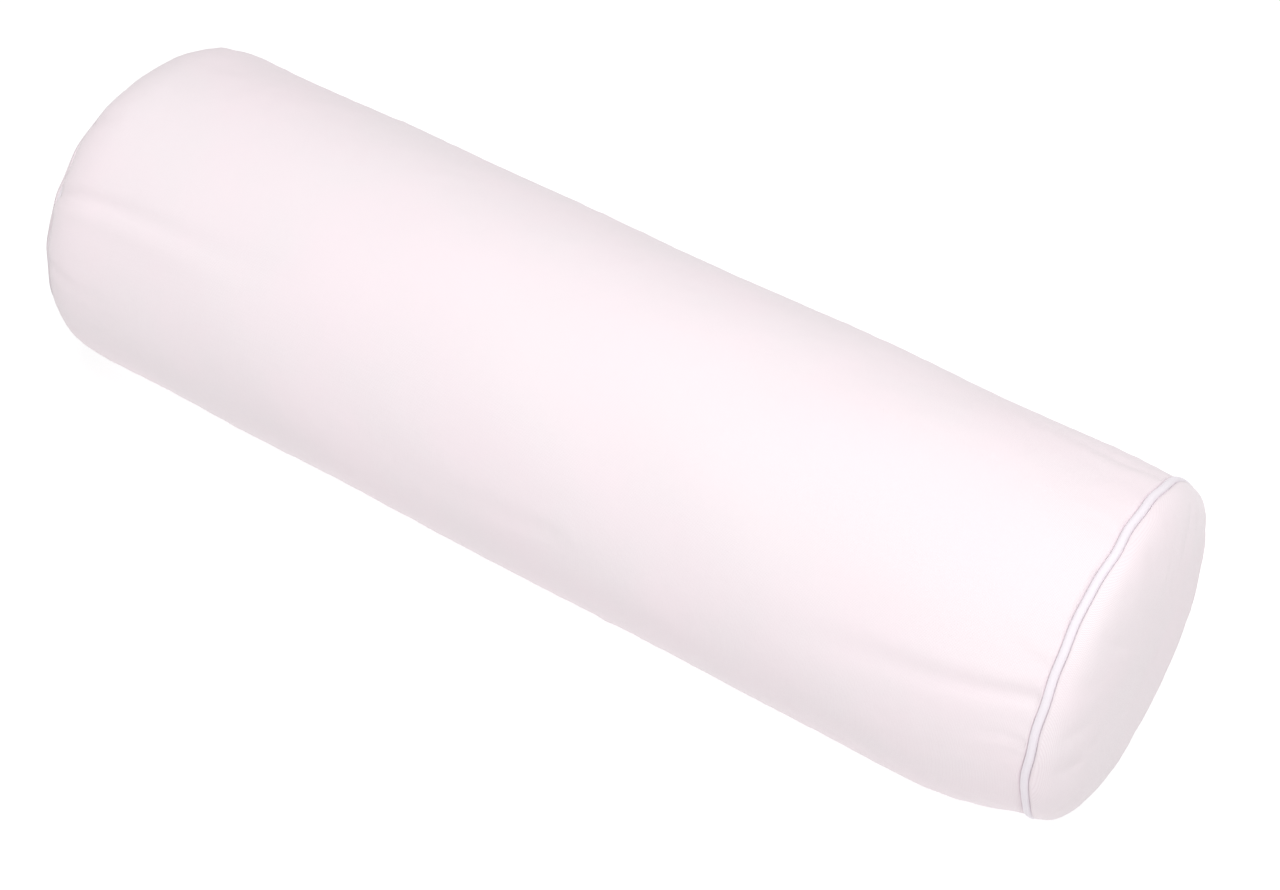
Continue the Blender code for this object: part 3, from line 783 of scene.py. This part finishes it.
print(len(rows), "rows and", len(columns), "columns of cloth")


# %% The cover's points
def smoothstep(low, high, value):
    share = np.clip((value - low) / (high - low), 0, 1)
    return share * share * (3 - 2 * share)


SEAM_DIP, DIP_WIDTH = 0.85 * MM, 2.3 * MM


def closing(x):
    """0 where the zip shows and 1 where the two edges are sewn together."""
    return smoothstep(SLOT_END - 7.5 * MM, SLOT_END - 0.5 * MM, np.abs(x))


def cover_points():
    x = np.array([s[0] for s in rows])[:, None]
    dips = [s[1] for s in rows]
    arc, height, hand = (columns[:, k][None, :] for k in range(3))
    closed_up = closing(x)
    inward = (SLOT_HALF - 0.05 * MM) * np.exp(-(((edge_gap - SLOT_HALF) / (20 * MM)) ** 2))
    arc = arc - hand * inward * closed_up
    gap = np.minimum(arc, girth - arc)
    turn = ZIP_TURN + arc / RADIUS
    rise = np.broadcast_to(cover_rise(x, turn), (len(rows), len(columns))).copy()
    rise += height - SEAM_DIP * closed_up * np.exp(-((gap / DIP_WIDTH) ** 2))
    tug = 0.16 * MM * np.sin(x / (3.1 * MM) + 1.1 * np.sin(x / (11 * MM)))
    rise += closed_up * tug * np.exp(-((gap / (6 * MM)) ** 2))
    sewn = (1 - closed_up) * np.where(height > -0.4 * MM, 1, 0)
    rise -= 0.16 * MM * sewn * np.exp(-(((gap - 9 * MM) / (0.75 * MM)) ** 2))
    points = roll_point(x, turn, rise)
    for row, dip in enumerate(dips):
        if dip is None:
            continue
        side = 1 if x[row, 0] > 0 else -1
        seam_x = ENDS[side]["seam"]
        base = roll_point(seam_x, turn[row], height[0] - BEAD_SET_BACK + dip)
        base[..., 0] += x[row, 0] - seam_x
        points[row] = base
    return settled(points)


flat = np.stack(np.broadcast_arrays(
    np.concatenate([[0], np.cumsum([math.hypot(b[0] - a[0], (b[1] or 0) - (a[1] or 0))
                                    for a, b in zip(rows, rows[1:])])])[:, None], cut[None, :]), -1)
cover_mesh = grid_mesh("cover", cover_points(), flat)
cover = thicken(link("cover", cover_mesh, cover_cotton), CLOTH)
middle_face = cover_mesh.polygons[(len(rows) // 2) * (len(columns) - 1) + len(columns) // 2]
print("cover", len(cover_mesh.polygons), "faces; outward", round(
    float(Vector(middle_face.normal).dot(Vector(middle_face.center) - Vector(AXIS)) * 1000)))
declare(cover, stands_for="cover_body")

# %% [markdown]
# ## End cloths
# Each end is a circle of the same cotton, pushed out by the foam into a shallow crown. Its rim
# turns in beside the piping, where it is gathered into the seam, so small pleats run from the rim
# towards the middle.

# %% End cloths
RIM = [(2.75, 1.15), (2.4, 0.75), (2.16, 0.15), (2.14, -0.6), (1.9, -1.8), (1.35, -2.9), (0.95, -4.2),
       (0.85, -6.8), (0.85, -10.2)]


def end_cloth(side):
    end = ENDS[side]
    turn = 2 * np.pi * np.arange(180) / 180
    shares = np.sin(0.5 * np.pi * np.linspace(0, 1, 34)[1:]) ** 0.9
    shares = shares[shares < 0.997]
    field = None if folds is None else folds[1 if side > 0 else 2]
    points, maps = [], []
    for share in shares:
        edge = math.exp(-(1 - share) * (RADIUS - end["drop"]) / (10 * MM))
        rise = 0.25 * MM * edge * (1 - share**30) * ripple(turn, end["seed"] + 3, 18, 36)
        rise = rise + 0.5 * MM * (1 - share**2) * ripple(turn, end["seed"] + 4, 1, 4) * share
        if field is not None:
            row = np.interp(-share, -SIM_SHARES[::-1], np.arange(len(SIM_SHARES)))
            rise = rise + END_FOLDS * read_field(field, np.full(turn.shape, row), turn)
        points.append(crown_point(side, share, turn, rise))
        reach = (RADIUS - end["drop"]) * share
        maps.append(np.stack([reach * np.sin(turn), reach * np.cos(turn)], -1))
    for dx, dr in RIM:
        base = roll_point(end["seam"], turn, dr * MM - BEAD_SET_BACK)
        base[:, 0] += side * dx * MM
        points.append(base)
        reach += 1.2 * MM
        maps.append(np.stack([reach * np.sin(turn), reach * np.cos(turn)], -1))
    poles = [(crown_point(side, 0.0, 0.0), (0.0, 0.0))]
    name = "right_end_cloth" if side > 0 else "left_end_cloth"
    mesh = grid_mesh(name, settled(np.array(points)), np.array(maps), True, poles, side > 0)
    cloth = thicken(link(name, mesh, cover_cotton), CLOTH)
    declare(cloth, stands_for=name.replace("cloth", "panel"))
    print(name, len(mesh.polygons), "faces; outward", round(side * mesh.polygons[-1].normal.x, 2))


for side in (1, -1):
    end_cloth(side)

# %% [markdown]
# ## A short way to write Geometry Nodes
# Piping, cord, coil and stitches all follow a path or repeat along one, so they are grown by
# Geometry Nodes. `Growth` builds a tree with named inputs. `grow` gives the tree to a guide object,
# sets its inputs, reads the evaluated result back as a plain mesh and drops the modifier.

# %% Geometry Nodes helper
class Growth(Tree):
    """A Geometry Nodes tree with one named input for each size."""

    def __init__(self, name, sizes):
        self.tree = bpy.data.node_groups.new(name, "GeometryNodeTree")
        self.nodes, self.links = self.tree.nodes, self.tree.links
        face = self.tree.interface
        face.new_socket("Geometry", in_out="OUTPUT", socket_type="NodeSocketGeometry")
        face.new_socket("Geometry", in_out="INPUT", socket_type="NodeSocketGeometry")
        self.ids = {}
        for label, value in sizes.items():
            kind = {float: "NodeSocketFloat", int: "NodeSocketInt"}.get(type(value), "NodeSocketObject")
            socket = face.new_socket(label, in_out="INPUT", socket_type=kind)
            if value is not None:
                socket.default_value = value
            self.ids[label] = socket.identifier
        face_material = face.new_socket("Material", in_out="INPUT", socket_type="NodeSocketMaterial")
        self.ids["Material"] = face_material.identifier
        self.given = self.tree.nodes.new("NodeGroupInput").outputs

    def stored(self, name):
        return self.node("GeometryNodeInputNamedAttribute", settings={"data_type": "FLOAT_VECTOR"}, Name=name)

    def end(self, geometry):
        real = self.node("GeometryNodeRealizeInstances", Geometry=geometry)
        dressed = self.node("GeometryNodeSetMaterial", Geometry=real, Material=self.given["Material"])
        result = self.tree.nodes.new("NodeGroupOutput")
        self.tree.links.new(dressed, result.inputs[0])
        return self


def guide(name, points, edges, faces=(), **vectors):
    """A mesh that only leads a tree, with a vector stored at each of its points."""
    mesh = bpy.data.meshes.new(name)
    mesh.from_pydata(np.asarray(points).tolist(), edges, faces)
    for label, value in vectors.items():
        layer = mesh.attributes.new(label, "FLOAT_VECTOR", "POINT")
        layer.data.foreach_set("vector", np.asarray(value, float).ravel())
    return link(name, mesh)


def grow(name, led_by, growth, material, **sizes):
    step = led_by.modifiers.new(growth.tree.name, "NODES")
    step.node_group = growth.tree
    for label, value in sizes.items():
        step[growth.ids[label.replace("_", " ")]] = value
    step[growth.ids["Material"]] = material
    mesh = bpy.data.meshes.new_from_object(led_by.evaluated_get(bpy.context.evaluated_depsgraph_get()))
    bpy.data.objects.remove(led_by)
    mesh.name = name
    print(name, len(mesh.polygons), "faces grown")
    return link(name, mesh, material)


# %% [markdown]
# ## Piping
# Piping is a narrow strip of cloth cut on the bias, folded over a cotton cord, with its two raw
# edges caught in the seam. It is a single section carried round the seam, so one tree sweeps it:
# Curve to Mesh draws the section at each point of the seam line, held upright by a stored
# direction, and the fill of the cord is the same tree with a three-lobed section and a twist.

# %% Sweep tree
def sweep_tree():
    growth = Growth("Sweep round a seam", {"Section": None, "Scale": 1.0, "Twists": 0.0})
    given = growth.given
    path = growth.node("GeometryNodeMeshToCurve", Mesh=given["Geometry"])
    upright = growth.node(
        "GeometryNodeSetCurveNormal", settings={"mode": "FREE"}, Curve=path, Normal=growth.stored("out")
    )
    along = growth.node("GeometryNodeSplineParameter", 0)
    angle = growth.times(growth.times(along, given["Twists"]), 2 * math.pi)
    twisted = growth.node("GeometryNodeSetCurveTilt", Curve=upright, Tilt=angle)
    drawn = growth.node("GeometryNodeObjectInfo", 4, Object=given["Section"])
    section = growth.node("GeometryNodeMeshToCurve", Mesh=drawn)
    scaled = growth.node(
        "GeometryNodeTransform", Geometry=section,
        Scale=growth.node("ShaderNodeCombineXYZ", X=given["Scale"], Y=given["Scale"], Z=given["Scale"]),
    )
    swept = growth.node("GeometryNodeCurveToMesh", Curve=twisted, Profile_Curve=scaled)
    return growth.end(swept)


sweep = sweep_tree()


def section(name, outline):
    """A closed outline drawn flat, as (along the roll, outwards)."""
    count = len(outline)
    points = [(rise, -along, 0) for along, rise in outline]
    return guide(name, points, [(k, (k + 1) % count) for k in range(count)])


# %% Piping strips and their cords
BEAD, STRIP = 2.1 * MM, 0.45 * MM


def strip_outline():
    outer = [(BEAD, a) for a in np.radians(np.linspace(-90 + 17, 270 - 17, 25))]
    inner = [(BEAD - STRIP, a) for a in np.radians(np.linspace(270 - 6, -90 + 6, 21))]
    down = [(0.66 * MM, -2.9 * MM), (0.62 * MM, -5.5 * MM), (0.62 * MM, -10.1 * MM)]
    back = [(0.14 * MM, -10.1 * MM), (0.14 * MM, -5.5 * MM), (0.16 * MM, -2.6 * MM)]
    loop = [(x, r) for x, r in down[::-1]]
    loop += [(radius * math.cos(a), radius * math.sin(a)) for radius, a in outer]
    loop += [(-x, r) for x, r in down] + [(-x, r) for x, r in back]
    loop += [(radius * math.cos(a), radius * math.sin(a)) for radius, a in inner]
    return loop + back[::-1]


def cord_section():
    turns = 2 * np.pi * np.arange(24) / 24
    radius = 1.40 * MM * (0.86 + 0.14 * np.abs(np.cos(1.5 * turns)) ** 0.7)
    return list(zip(radius * np.cos(turns), radius * np.sin(turns)))


def seam_line(side, steps):
    turn = 2 * np.pi * np.arange(steps) / steps
    line = roll_point(ENDS[side]["seam"], turn, -BEAD_SET_BACK)
    edges = [(k, (k + 1) % steps) for k in range(steps)]
    return guide("seam", line, edges, out=outward_at(turn))


def lay_bias(mesh, side):
    """A flat map for the strip: along the seam, and round the cord."""
    corners = np.array([v.co for v in mesh.vertices])
    shift_y, shift_z = ENDS[side]["shift"]
    y, z = corners[:, 1] - shift_y, corners[:, 2] - AXIS_HEIGHT - shift_z
    turn = np.arctan2(y, -z)
    line = roll_point(ENDS[side]["seam"], turn, -BEAD_SET_BACK)
    middle = np.hypot(line[:, 1] - shift_y, line[:, 2] - AXIS_HEIGHT - shift_z)
    round_cord = np.arctan2(np.hypot(y, z) - middle, corners[:, 0] - line[:, 0])
    ends = np.array([loop.vertex_index for loop in mesh.loops]).reshape(-1, 4)
    flat = np.stack([turn[ends], round_cord[ends]], -1)
    flat -= 2 * np.pi * np.round((flat - flat[:, :1]) / (2 * np.pi))
    layer = mesh.uv_layers.new(name="cloth")
    layer.data.foreach_set("uv", (flat * [middle.mean(), 2.5 * MM]).ravel())


def add_piping(side):
    label = "right" if side > 0 else "left"
    for name, outline, steps, material, twists, node, slot in (
        ("piping_strip", strip_outline(), 220, piping_cotton, 0.0, "piping_tape", "piping_cloth"),
        ("twisted_cord", cord_section(), 620, cord_cotton, 51.0, "piping_cord", "piping_cord_cotton"),
    ):
        drawn = section(name + " outline", outline)
        piece = grow(f"{label}_{name}", seam_line(side, steps), sweep, material,
                     Section=drawn, Scale=1.0, Twists=twists)
        bpy.data.objects.remove(drawn)
        if node == "piping_tape":
            lay_bias(piece.data, side)
        declare(piece, stands_for=f"{label}_{node}")


for side in (1, -1):
    add_piping(side)


# %% [markdown]
# ## Foam filling
# The filling is one cylinder of upholstery foam, cut with a hot wire. Its corners are softened so
# that the seam allowances have somewhere to lie, and it gives way a little under the zip. It is
# shaped by the same rule as the cover, a cloth's thickness lower, so the two can never cross.

# %% Foam core
CORNER, CORNER_LOW = 21 * MM, 14.5 * MM


def core_radius(side, step):
    """(distance inside the seam, radius) round the softened corner; step runs from 0 to 1."""
    turn = 0.5 * math.pi * step
    low = RADIUS - ENDS[side]["drop"] - CORNER_LOW
    start = CORNER + 2.5 * MM
    pull, _ = end_pull(side, ENDS[side]["seam"] - side * start)
    top = RADIUS - ENDS[side]["drop"] * float(pull) - 0.9 * MM
    return start - CORNER * math.sin(turn), low + (top - low) * math.cos(turn)


def core_rings():
    turn = 2 * np.pi * np.arange(132) / 132
    across = across_zip(turn)
    under_seam = 1.7 * MM * np.exp(-((across / (18 * MM)) ** 4))
    rings = []
    for side in (-1, 1):
        end = ENDS[side]
        low = RADIUS - end["drop"] - CORNER_LOW
        dome, corner = [], []
        for share in np.sin(0.5 * np.pi * np.linspace(0, 1, 12)[1:-1]):
            rise = (1 - share ** end["square"]) ** (1 / end["square"])
            ring = crown_point(side, share * low / (RADIUS - end["drop"]), turn)
            ring[:, 0] = end["seam"] + side * (-2.5 * MM + (end["crown"] + 1.5 * MM) * rise)
            dome.append(ring)
        for step in np.linspace(1, 0, 9):
            inside, radius = core_radius(side, step)
            x = end["seam"] - side * inside
            pull, _ = end_pull(side, x)
            limit = RADIUS - end["drop"] * float(pull) - 1.7 * MM
            rise = min(radius, limit) - (RADIUS - end["drop"] * float(pull)) - under_seam
            corner.append(roll_point(x, turn, rise + np.minimum(unevenness(x, turn), 0)))
        rings.append(dome + corner)
    middle = []
    for x in np.linspace(ENDS[-1]["seam"] + 0.03, ENDS[1]["seam"] - 0.03, 96):
        rise = -1.6 * MM - under_seam + np.minimum(cover_rise(x, turn), 0.3 * MM)
        points = roll_point(x, turn, rise)
        room = 1 - smoothstep(SLOT_END + 6 * MM, SLOT_END + 14 * MM, abs(x))
        out = (points - AXIS) @ OUT
        excess = np.maximum(out - (RADIUS - 3.9 * MM), 0) * room
        middle.append(points - excess[:, None] * OUT)
    return np.array(rings[0] + middle + rings[1][::-1])


rings = core_rings()
poles = [(np.array([ENDS[side]["seam"] + side * (ENDS[side]["crown"] - 1.0 * MM), ENDS[side]["shift"][0],
                    AXIS_HEIGHT + ENDS[side]["shift"][1]]), (0.0, 0.0)) for side in (-1, 1)]
core_mesh = grid_mesh("foam", settled(rings, 0.6 * MM), np.zeros((*rings.shape[:2], 2)), True, poles)
core = link("foam_roll", core_mesh, roll_foam)
declare(core, stands_for="foam_core")
print("foam", len(core_mesh.polygons), "faces")

# %% [markdown]
# ## Zip: tapes and coils
# Each half of the zip is a woven tape with a coil of nylon wire sewn along its edge. The two coils
# are the same spring, half a turn apart, so that each turn sits in a gap of the other. A coil is a
# path that follows a rule, so one tree bends a straight line into it from its pitch, width, height
# and starting turn.

# %% Tapes
def zip_point(x, t, h):
    x, t, h = np.broadcast_arrays(x, t, h)
    return AXIS + x[..., None] * np.array([1, 0, 0]) + t[..., None] * ACROSS + h[..., None] * OUT


def zip_tape(label, side):
    x = np.linspace(-SLOT_END - 6 * MM, SLOT_END + 6 * MM, 152)[:, None]
    steps = (1.0, 1.15, 1.7, 2.4, 3.2, 4.0, 5.0, 6.0, 7.5, 9.5, 12.0, 14.5, 15.4, 16.1, 16.4)
    t = MM * np.array(steps)[None, :]
    ridge, groove = (np.exp(-(((t - at * MM) / (0.5 * MM)) ** 2)) for at in (15.6, 4.1))
    ribbed = 0.10 * MM * (ridge - groove)
    waver = 0.05 * MM * np.sin(x / (9 * MM) + side)
    h = np.sqrt(TAPE_TOP**2 - t**2) + ribbed + waver - 0.1 * MM
    flat = np.stack(np.broadcast_arrays(x, t), -1)
    mesh = grid_mesh(f"zip_tape_{label}_cloth", zip_point(x, side * t, h), flat, turned_round=side < 0)
    tape = thicken(link(mesh.name, mesh, tape_twill), 0.4 * MM)
    declare(tape, stands_for=f"zip_tape_{label}")
    print(mesh.name, "outward", round(float(Vector(mesh.polygons[800].normal).dot(Vector(OUT))), 2))


for label, side in (("upper", 1), ("lower", -1)):
    zip_tape(label, side)


# %% Coil tree
def coil_tree():
    sizes = {"Pitch": 1.5 * MM, "Half width": 1.52 * MM, "Half height": 0.62 * MM, "Wire": 0.31 * MM,
             "Middle": 1.3 * MM, "Start turn": 0.0, "Points a turn": 10.0}
    growth = Growth("Nylon coil", sizes)
    given = growth.given
    straight = growth.node("GeometryNodeMeshToCurve", Mesh=given["Geometry"])
    length = growth.node("GeometryNodeCurveLength", Curve=straight)
    turns = growth.sum("DIVIDE", length, given["Pitch"])
    count = growth.times(turns, given["Points a turn"])
    line = growth.node("GeometryNodeResampleCurve", Curve=straight, Count=count)
    share = growth.node("GeometryNodeSplineParameter", 0)
    turned = growth.times(growth.times(share, turns), 2 * math.pi)
    angle = growth.sum("ADD", turned, given["Start turn"])
    swing = growth.times(growth.sum("COSINE", angle), given["Half width"])
    across = growth.sum("ADD", swing, given["Middle"])
    out = growth.times(growth.sum("SINE", angle), given["Half height"])
    moved = [
        growth.node("ShaderNodeVectorMath", settings={"operation": "SCALE"},
                    i0=growth.stored(name), Scale=by)
        for name, by in (("across", across), ("out", out))
    ]
    offset = growth.node("ShaderNodeVectorMath", i0=moved[0], i1=moved[1])
    bent = growth.node("GeometryNodeSetPosition", Geometry=line, Offset=offset)
    wire = growth.node("GeometryNodeCurvePrimitiveCircle", Resolution=6, Radius=given["Wire"])
    swept = growth.node("GeometryNodeCurveToMesh", Curve=bent, Profile_Curve=wire, Fill_Caps=True)
    return growth.end(swept)


coil = coil_tree()
COIL_ENDS = (-SLOT_END + 7.9 * MM, SLOT_END - 14.6 * MM)


def add_coil(label, side):
    line = zip_point(np.array(COIL_ENDS), 0.0, COIL_MIDDLE)
    led = guide("coil line", line, [(0, 1)], across=[side * ACROSS] * 2, out=[OUT] * 2)
    row = grow(f"zip_coil_{label}_nylon", led, coil, coil_nylon,
               Start_turn=0.0 if side > 0 else math.pi)
    declare(row, stands_for=f"zip_coil_{label}")


for label, side in (("upper", 1), ("lower", -1)):
    add_coil(label, side)

# %% [markdown]
# ## Stitches
# A line of sewing is the same small arch of thread over and over. A guide mesh holds the needle
# holes as points, one edge for each stitch, with the outward direction stored on it. The tree puts
# an arch on every edge, as long as the edge, so one tree sews straight rows, the chain beside the
# coils and the close zigzag of the bar tacks.

# %% Stitch tree
def stitch_tree():
    growth = Growth("One stitch to an edge", {"Thread": 0.17 * MM, "Arch": 0.12 * MM, "Share": 0.86})
    given = growth.given
    ends = growth.node("GeometryNodeInputMeshEdgeVertices", 2)
    other = ends.node.outputs[3]
    way = growth.node("ShaderNodeVectorMath", settings={"operation": "SUBTRACT"}, i0=other, i1=ends)
    noted = growth.node("GeometryNodeStoreNamedAttribute",
                        settings={"data_type": "FLOAT_VECTOR", "domain": "EDGE"},
                        Geometry=given["Geometry"], Name="way", Value=way)
    holes = growth.node("GeometryNodeMeshToPoints", settings={"mode": "EDGES"}, Mesh=noted)
    arch = growth.node("GeometryNodeCurveQuadraticBezier", Resolution=6,
                       Start=(-0.5, 0, 0), End=(0.5, 0, 0))
    high = growth.node("ShaderNodeCombineXYZ", Z=growth.times(given["Arch"], 2.0))
    growth.tree.links.new(high, arch.node.inputs["Middle"])
    thread = growth.node("GeometryNodeCurvePrimitiveCircle", Resolution=6, Radius=given["Thread"])
    stitch = growth.node("GeometryNodeCurveToMesh", Curve=arch, Profile_Curve=thread, Fill_Caps=True)
    length = growth.node("ShaderNodeVectorMath", 1, settings={"operation": "LENGTH"},
                         i0=growth.stored("way"))
    scale = growth.node("ShaderNodeCombineXYZ", X=growth.times(length, given["Share"]), Y=1.0, Z=1.0)
    facing = growth.node("FunctionNodeAlignEulerToVector", settings={"axis": "Z"},
                         Vector=growth.stored("out"))
    turned = growth.node("FunctionNodeAlignEulerToVector", settings={"axis": "X", "pivot_axis": "Z"},
                         Rotation=facing, Vector=growth.stored("way"))
    return growth.end(growth.node("GeometryNodeInstanceOnPoints", Points=holes, Instance=stitch,
                                  Rotation=turned, Scale=scale))


stitches = stitch_tree()


def sew(name, lines, thread=0.17 * MM, arch=0.12 * MM, share=0.86):
    """Stitches along several lines of needle holes; each line is (points, outward)."""
    points, edges, outwards = [], [], []
    for line, outward in lines:
        first = len(points)
        points.extend(line)
        outwards.extend(outward)
        edges.extend((first + k, first + k + 1) for k in range(len(line) - 1))
    led = guide("needle holes", points, edges, out=np.array(outwards))
    row = grow(name, led, stitches, seam_thread, Thread=thread, Arch=arch, Share=share)
    declare(row)
    return row


# %% Rows of sewing
def on_cover(x, t, lift=0.05 * MM):
    """Needle holes on the finished cover at (x, t) of the zip, with the outward direction."""
    x, t = np.broadcast_arrays(np.asarray(x, float), np.asarray(t, float))
    turn = ZIP_TURN + t / RADIUS
    closed_up = closing(x)
    rise = cover_rise(x, turn) - SEAM_DIP * closed_up * np.exp(-((t / DIP_WIDTH) ** 2))
    line = roll_point(x, turn, rise + lift)
    return line, outward_at(turn)


ROW, END_BAR, STITCH = 9.0 * MM, SLOT_END + 3.5 * MM, 3.1 * MM
count = int(round(2 * END_BAR / STITCH))
run = np.linspace(-END_BAR, END_BAR, count + 1)
lines = [on_cover(run, side * ROW, -0.08 * MM) for side in (1, -1)]
for end_x in (-END_BAR, END_BAR):
    lines.append(on_cover(end_x, np.linspace(-ROW, ROW, 7), 0.02 * MM))
sew("zip_top_stitching", lines)

tacks = []
for end_x in (-SLOT_END + 1.0 * MM, SLOT_END - 1.0 * MM):
    steps = np.arange(23)
    tacks.append(on_cover(end_x + (steps - 11) * 0.19 * MM, np.where(steps % 2, 4.2, -4.2) * MM, 0.14 * MM))
sew("zip_bar_tacks", tacks, thread=0.16 * MM, arch=0.10 * MM, share=1.0)

chains = []
for side in (1, -1):
    for t in (1.55 * MM, 2.35 * MM):
        run = np.arange(COIL_ENDS[0] + 0.3 * MM, COIL_ENDS[1] - 0.6 * MM, 3.0 * MM)
        line = zip_point(run, side * t, COIL_MIDDLE + 0.97 * MM)
        chains.append((line, np.tile(OUT, (len(run), 1))))
chain = sew("coil_sewing_chain", chains, thread=0.12 * MM, arch=0.05 * MM, share=0.94)

# %% [markdown]
# ## Cast and crimped metal
# The slider and its pull are small zinc castings, and the stops are metal clips squeezed onto the
# tapes. Castings have no sharp edges, so a copy of each solid is rebuilt as an even skin of tiny
# faces and relaxed a little, which rounds every edge by the same fraction of a millimetre. How far
# each point stood proud before relaxing is stored as "edge", and the enamel wears through there.

# %% Cast pieces
def cast_copy(name, node, material, body, grain=0.17 * MM, passes=5, shape=None):
    copied = frame["nodes"][node].data.copy()
    form = bmesh.new()
    form.from_mesh(copied)
    bmesh.ops.remove_doubles(form, verts=form.verts, dist=1e-6)
    form.to_mesh(copied)
    form.free()
    for layer in list(copied.uv_layers):
        copied.uv_layers.remove(layer)
    piece = link(name, copied, material)
    skin = piece.modifiers.new("even skin", "REMESH")
    skin.mode, skin.voxel_size, skin.adaptivity = "VOXEL", grain, 0.0
    mesh = bpy.data.meshes.new_from_object(piece.evaluated_get(bpy.context.evaluated_depsgraph_get()))
    piece.modifiers.clear()
    piece.data = mesh
    points = np.array([v.co for v in mesh.vertices])
    if shape is not None:
        points = shape(points)
    edges = np.array([e.vertices[:] for e in mesh.edges])
    links = np.bincount(edges.ravel(), minlength=len(points))[:, None]

    def relaxed(values):
        total = np.zeros_like(values)
        np.add.at(total, edges[:, 0], values[edges[:, 1]])
        np.add.at(total, edges[:, 1], values[edges[:, 0]])
        return total / links

    normals = np.array([v.normal for v in mesh.vertices])
    smooth = points
    for _ in range(passes):
        smooth = 0.5 * smooth + 0.5 * relaxed(smooth)
    proud = ((points - smooth) * normals).sum(1)
    for _ in range(2):
        proud = relaxed(proud[:, None])[:, 0]
    edge = mesh.attributes.new("edge", "FLOAT", "POINT")
    edge.data.foreach_set("value", np.clip(proud / (0.10 * MM), 0, 1).astype(np.float32))
    mesh.vertices.foreach_set("co", smooth.ravel())
    dress(mesh, material)
    mesh.update()
    declare(piece, body, stands_for=node)
    print(name, len(mesh.polygons), "faces, proudest", round(proud.max() / MM, 3), "mm")


def on_zip(points):
    """Points as (x, t, h) of the zip."""
    away = points - AXIS
    return points[:, 0], away @ ACROSS, away @ OUT


def crimped(points):
    """Two grooves across a stop, where the pliers closed it."""
    x, _, h = on_zip(points)
    middle = 0.5 * (x.min() + x.max())
    groove = np.exp(-(((np.abs(x - middle) - 0.55 * MM) / (0.22 * MM)) ** 2)) * (h > np.median(h))
    return points - 0.16 * MM * groove[:, None] * OUT


def dished(points):
    """A shallow dish in the broad end of the pull, on both faces."""
    x, t, h = on_zip(points)
    low = x.min()
    from_middle = np.hypot((x - low - 5.2 * MM) / (3.6 * MM), t / (1.9 * MM))
    depth = 0.2 * MM * (1 - smoothstep(0.8, 1.05, from_middle))
    side = np.sign(h - 0.5 * (h.min() + h.max()))
    return points - (depth * side)[:, None] * OUT


cast_copy("zip_slider_cast", "zip_slider_body", slider_enamel, "zip_slider")
cast_copy("zip_pull_cast", "zip_pull_tab", slider_enamel, "zip_pull",
          grain=0.15 * MM, passes=4, shape=dished)
for name in ("zip_top_stop_upper", "zip_top_stop_lower", "zip_bottom_stop"):
    cast_copy(name + "_clip", name, stop_metal, "roller", 0.14 * MM, 5, crimped)
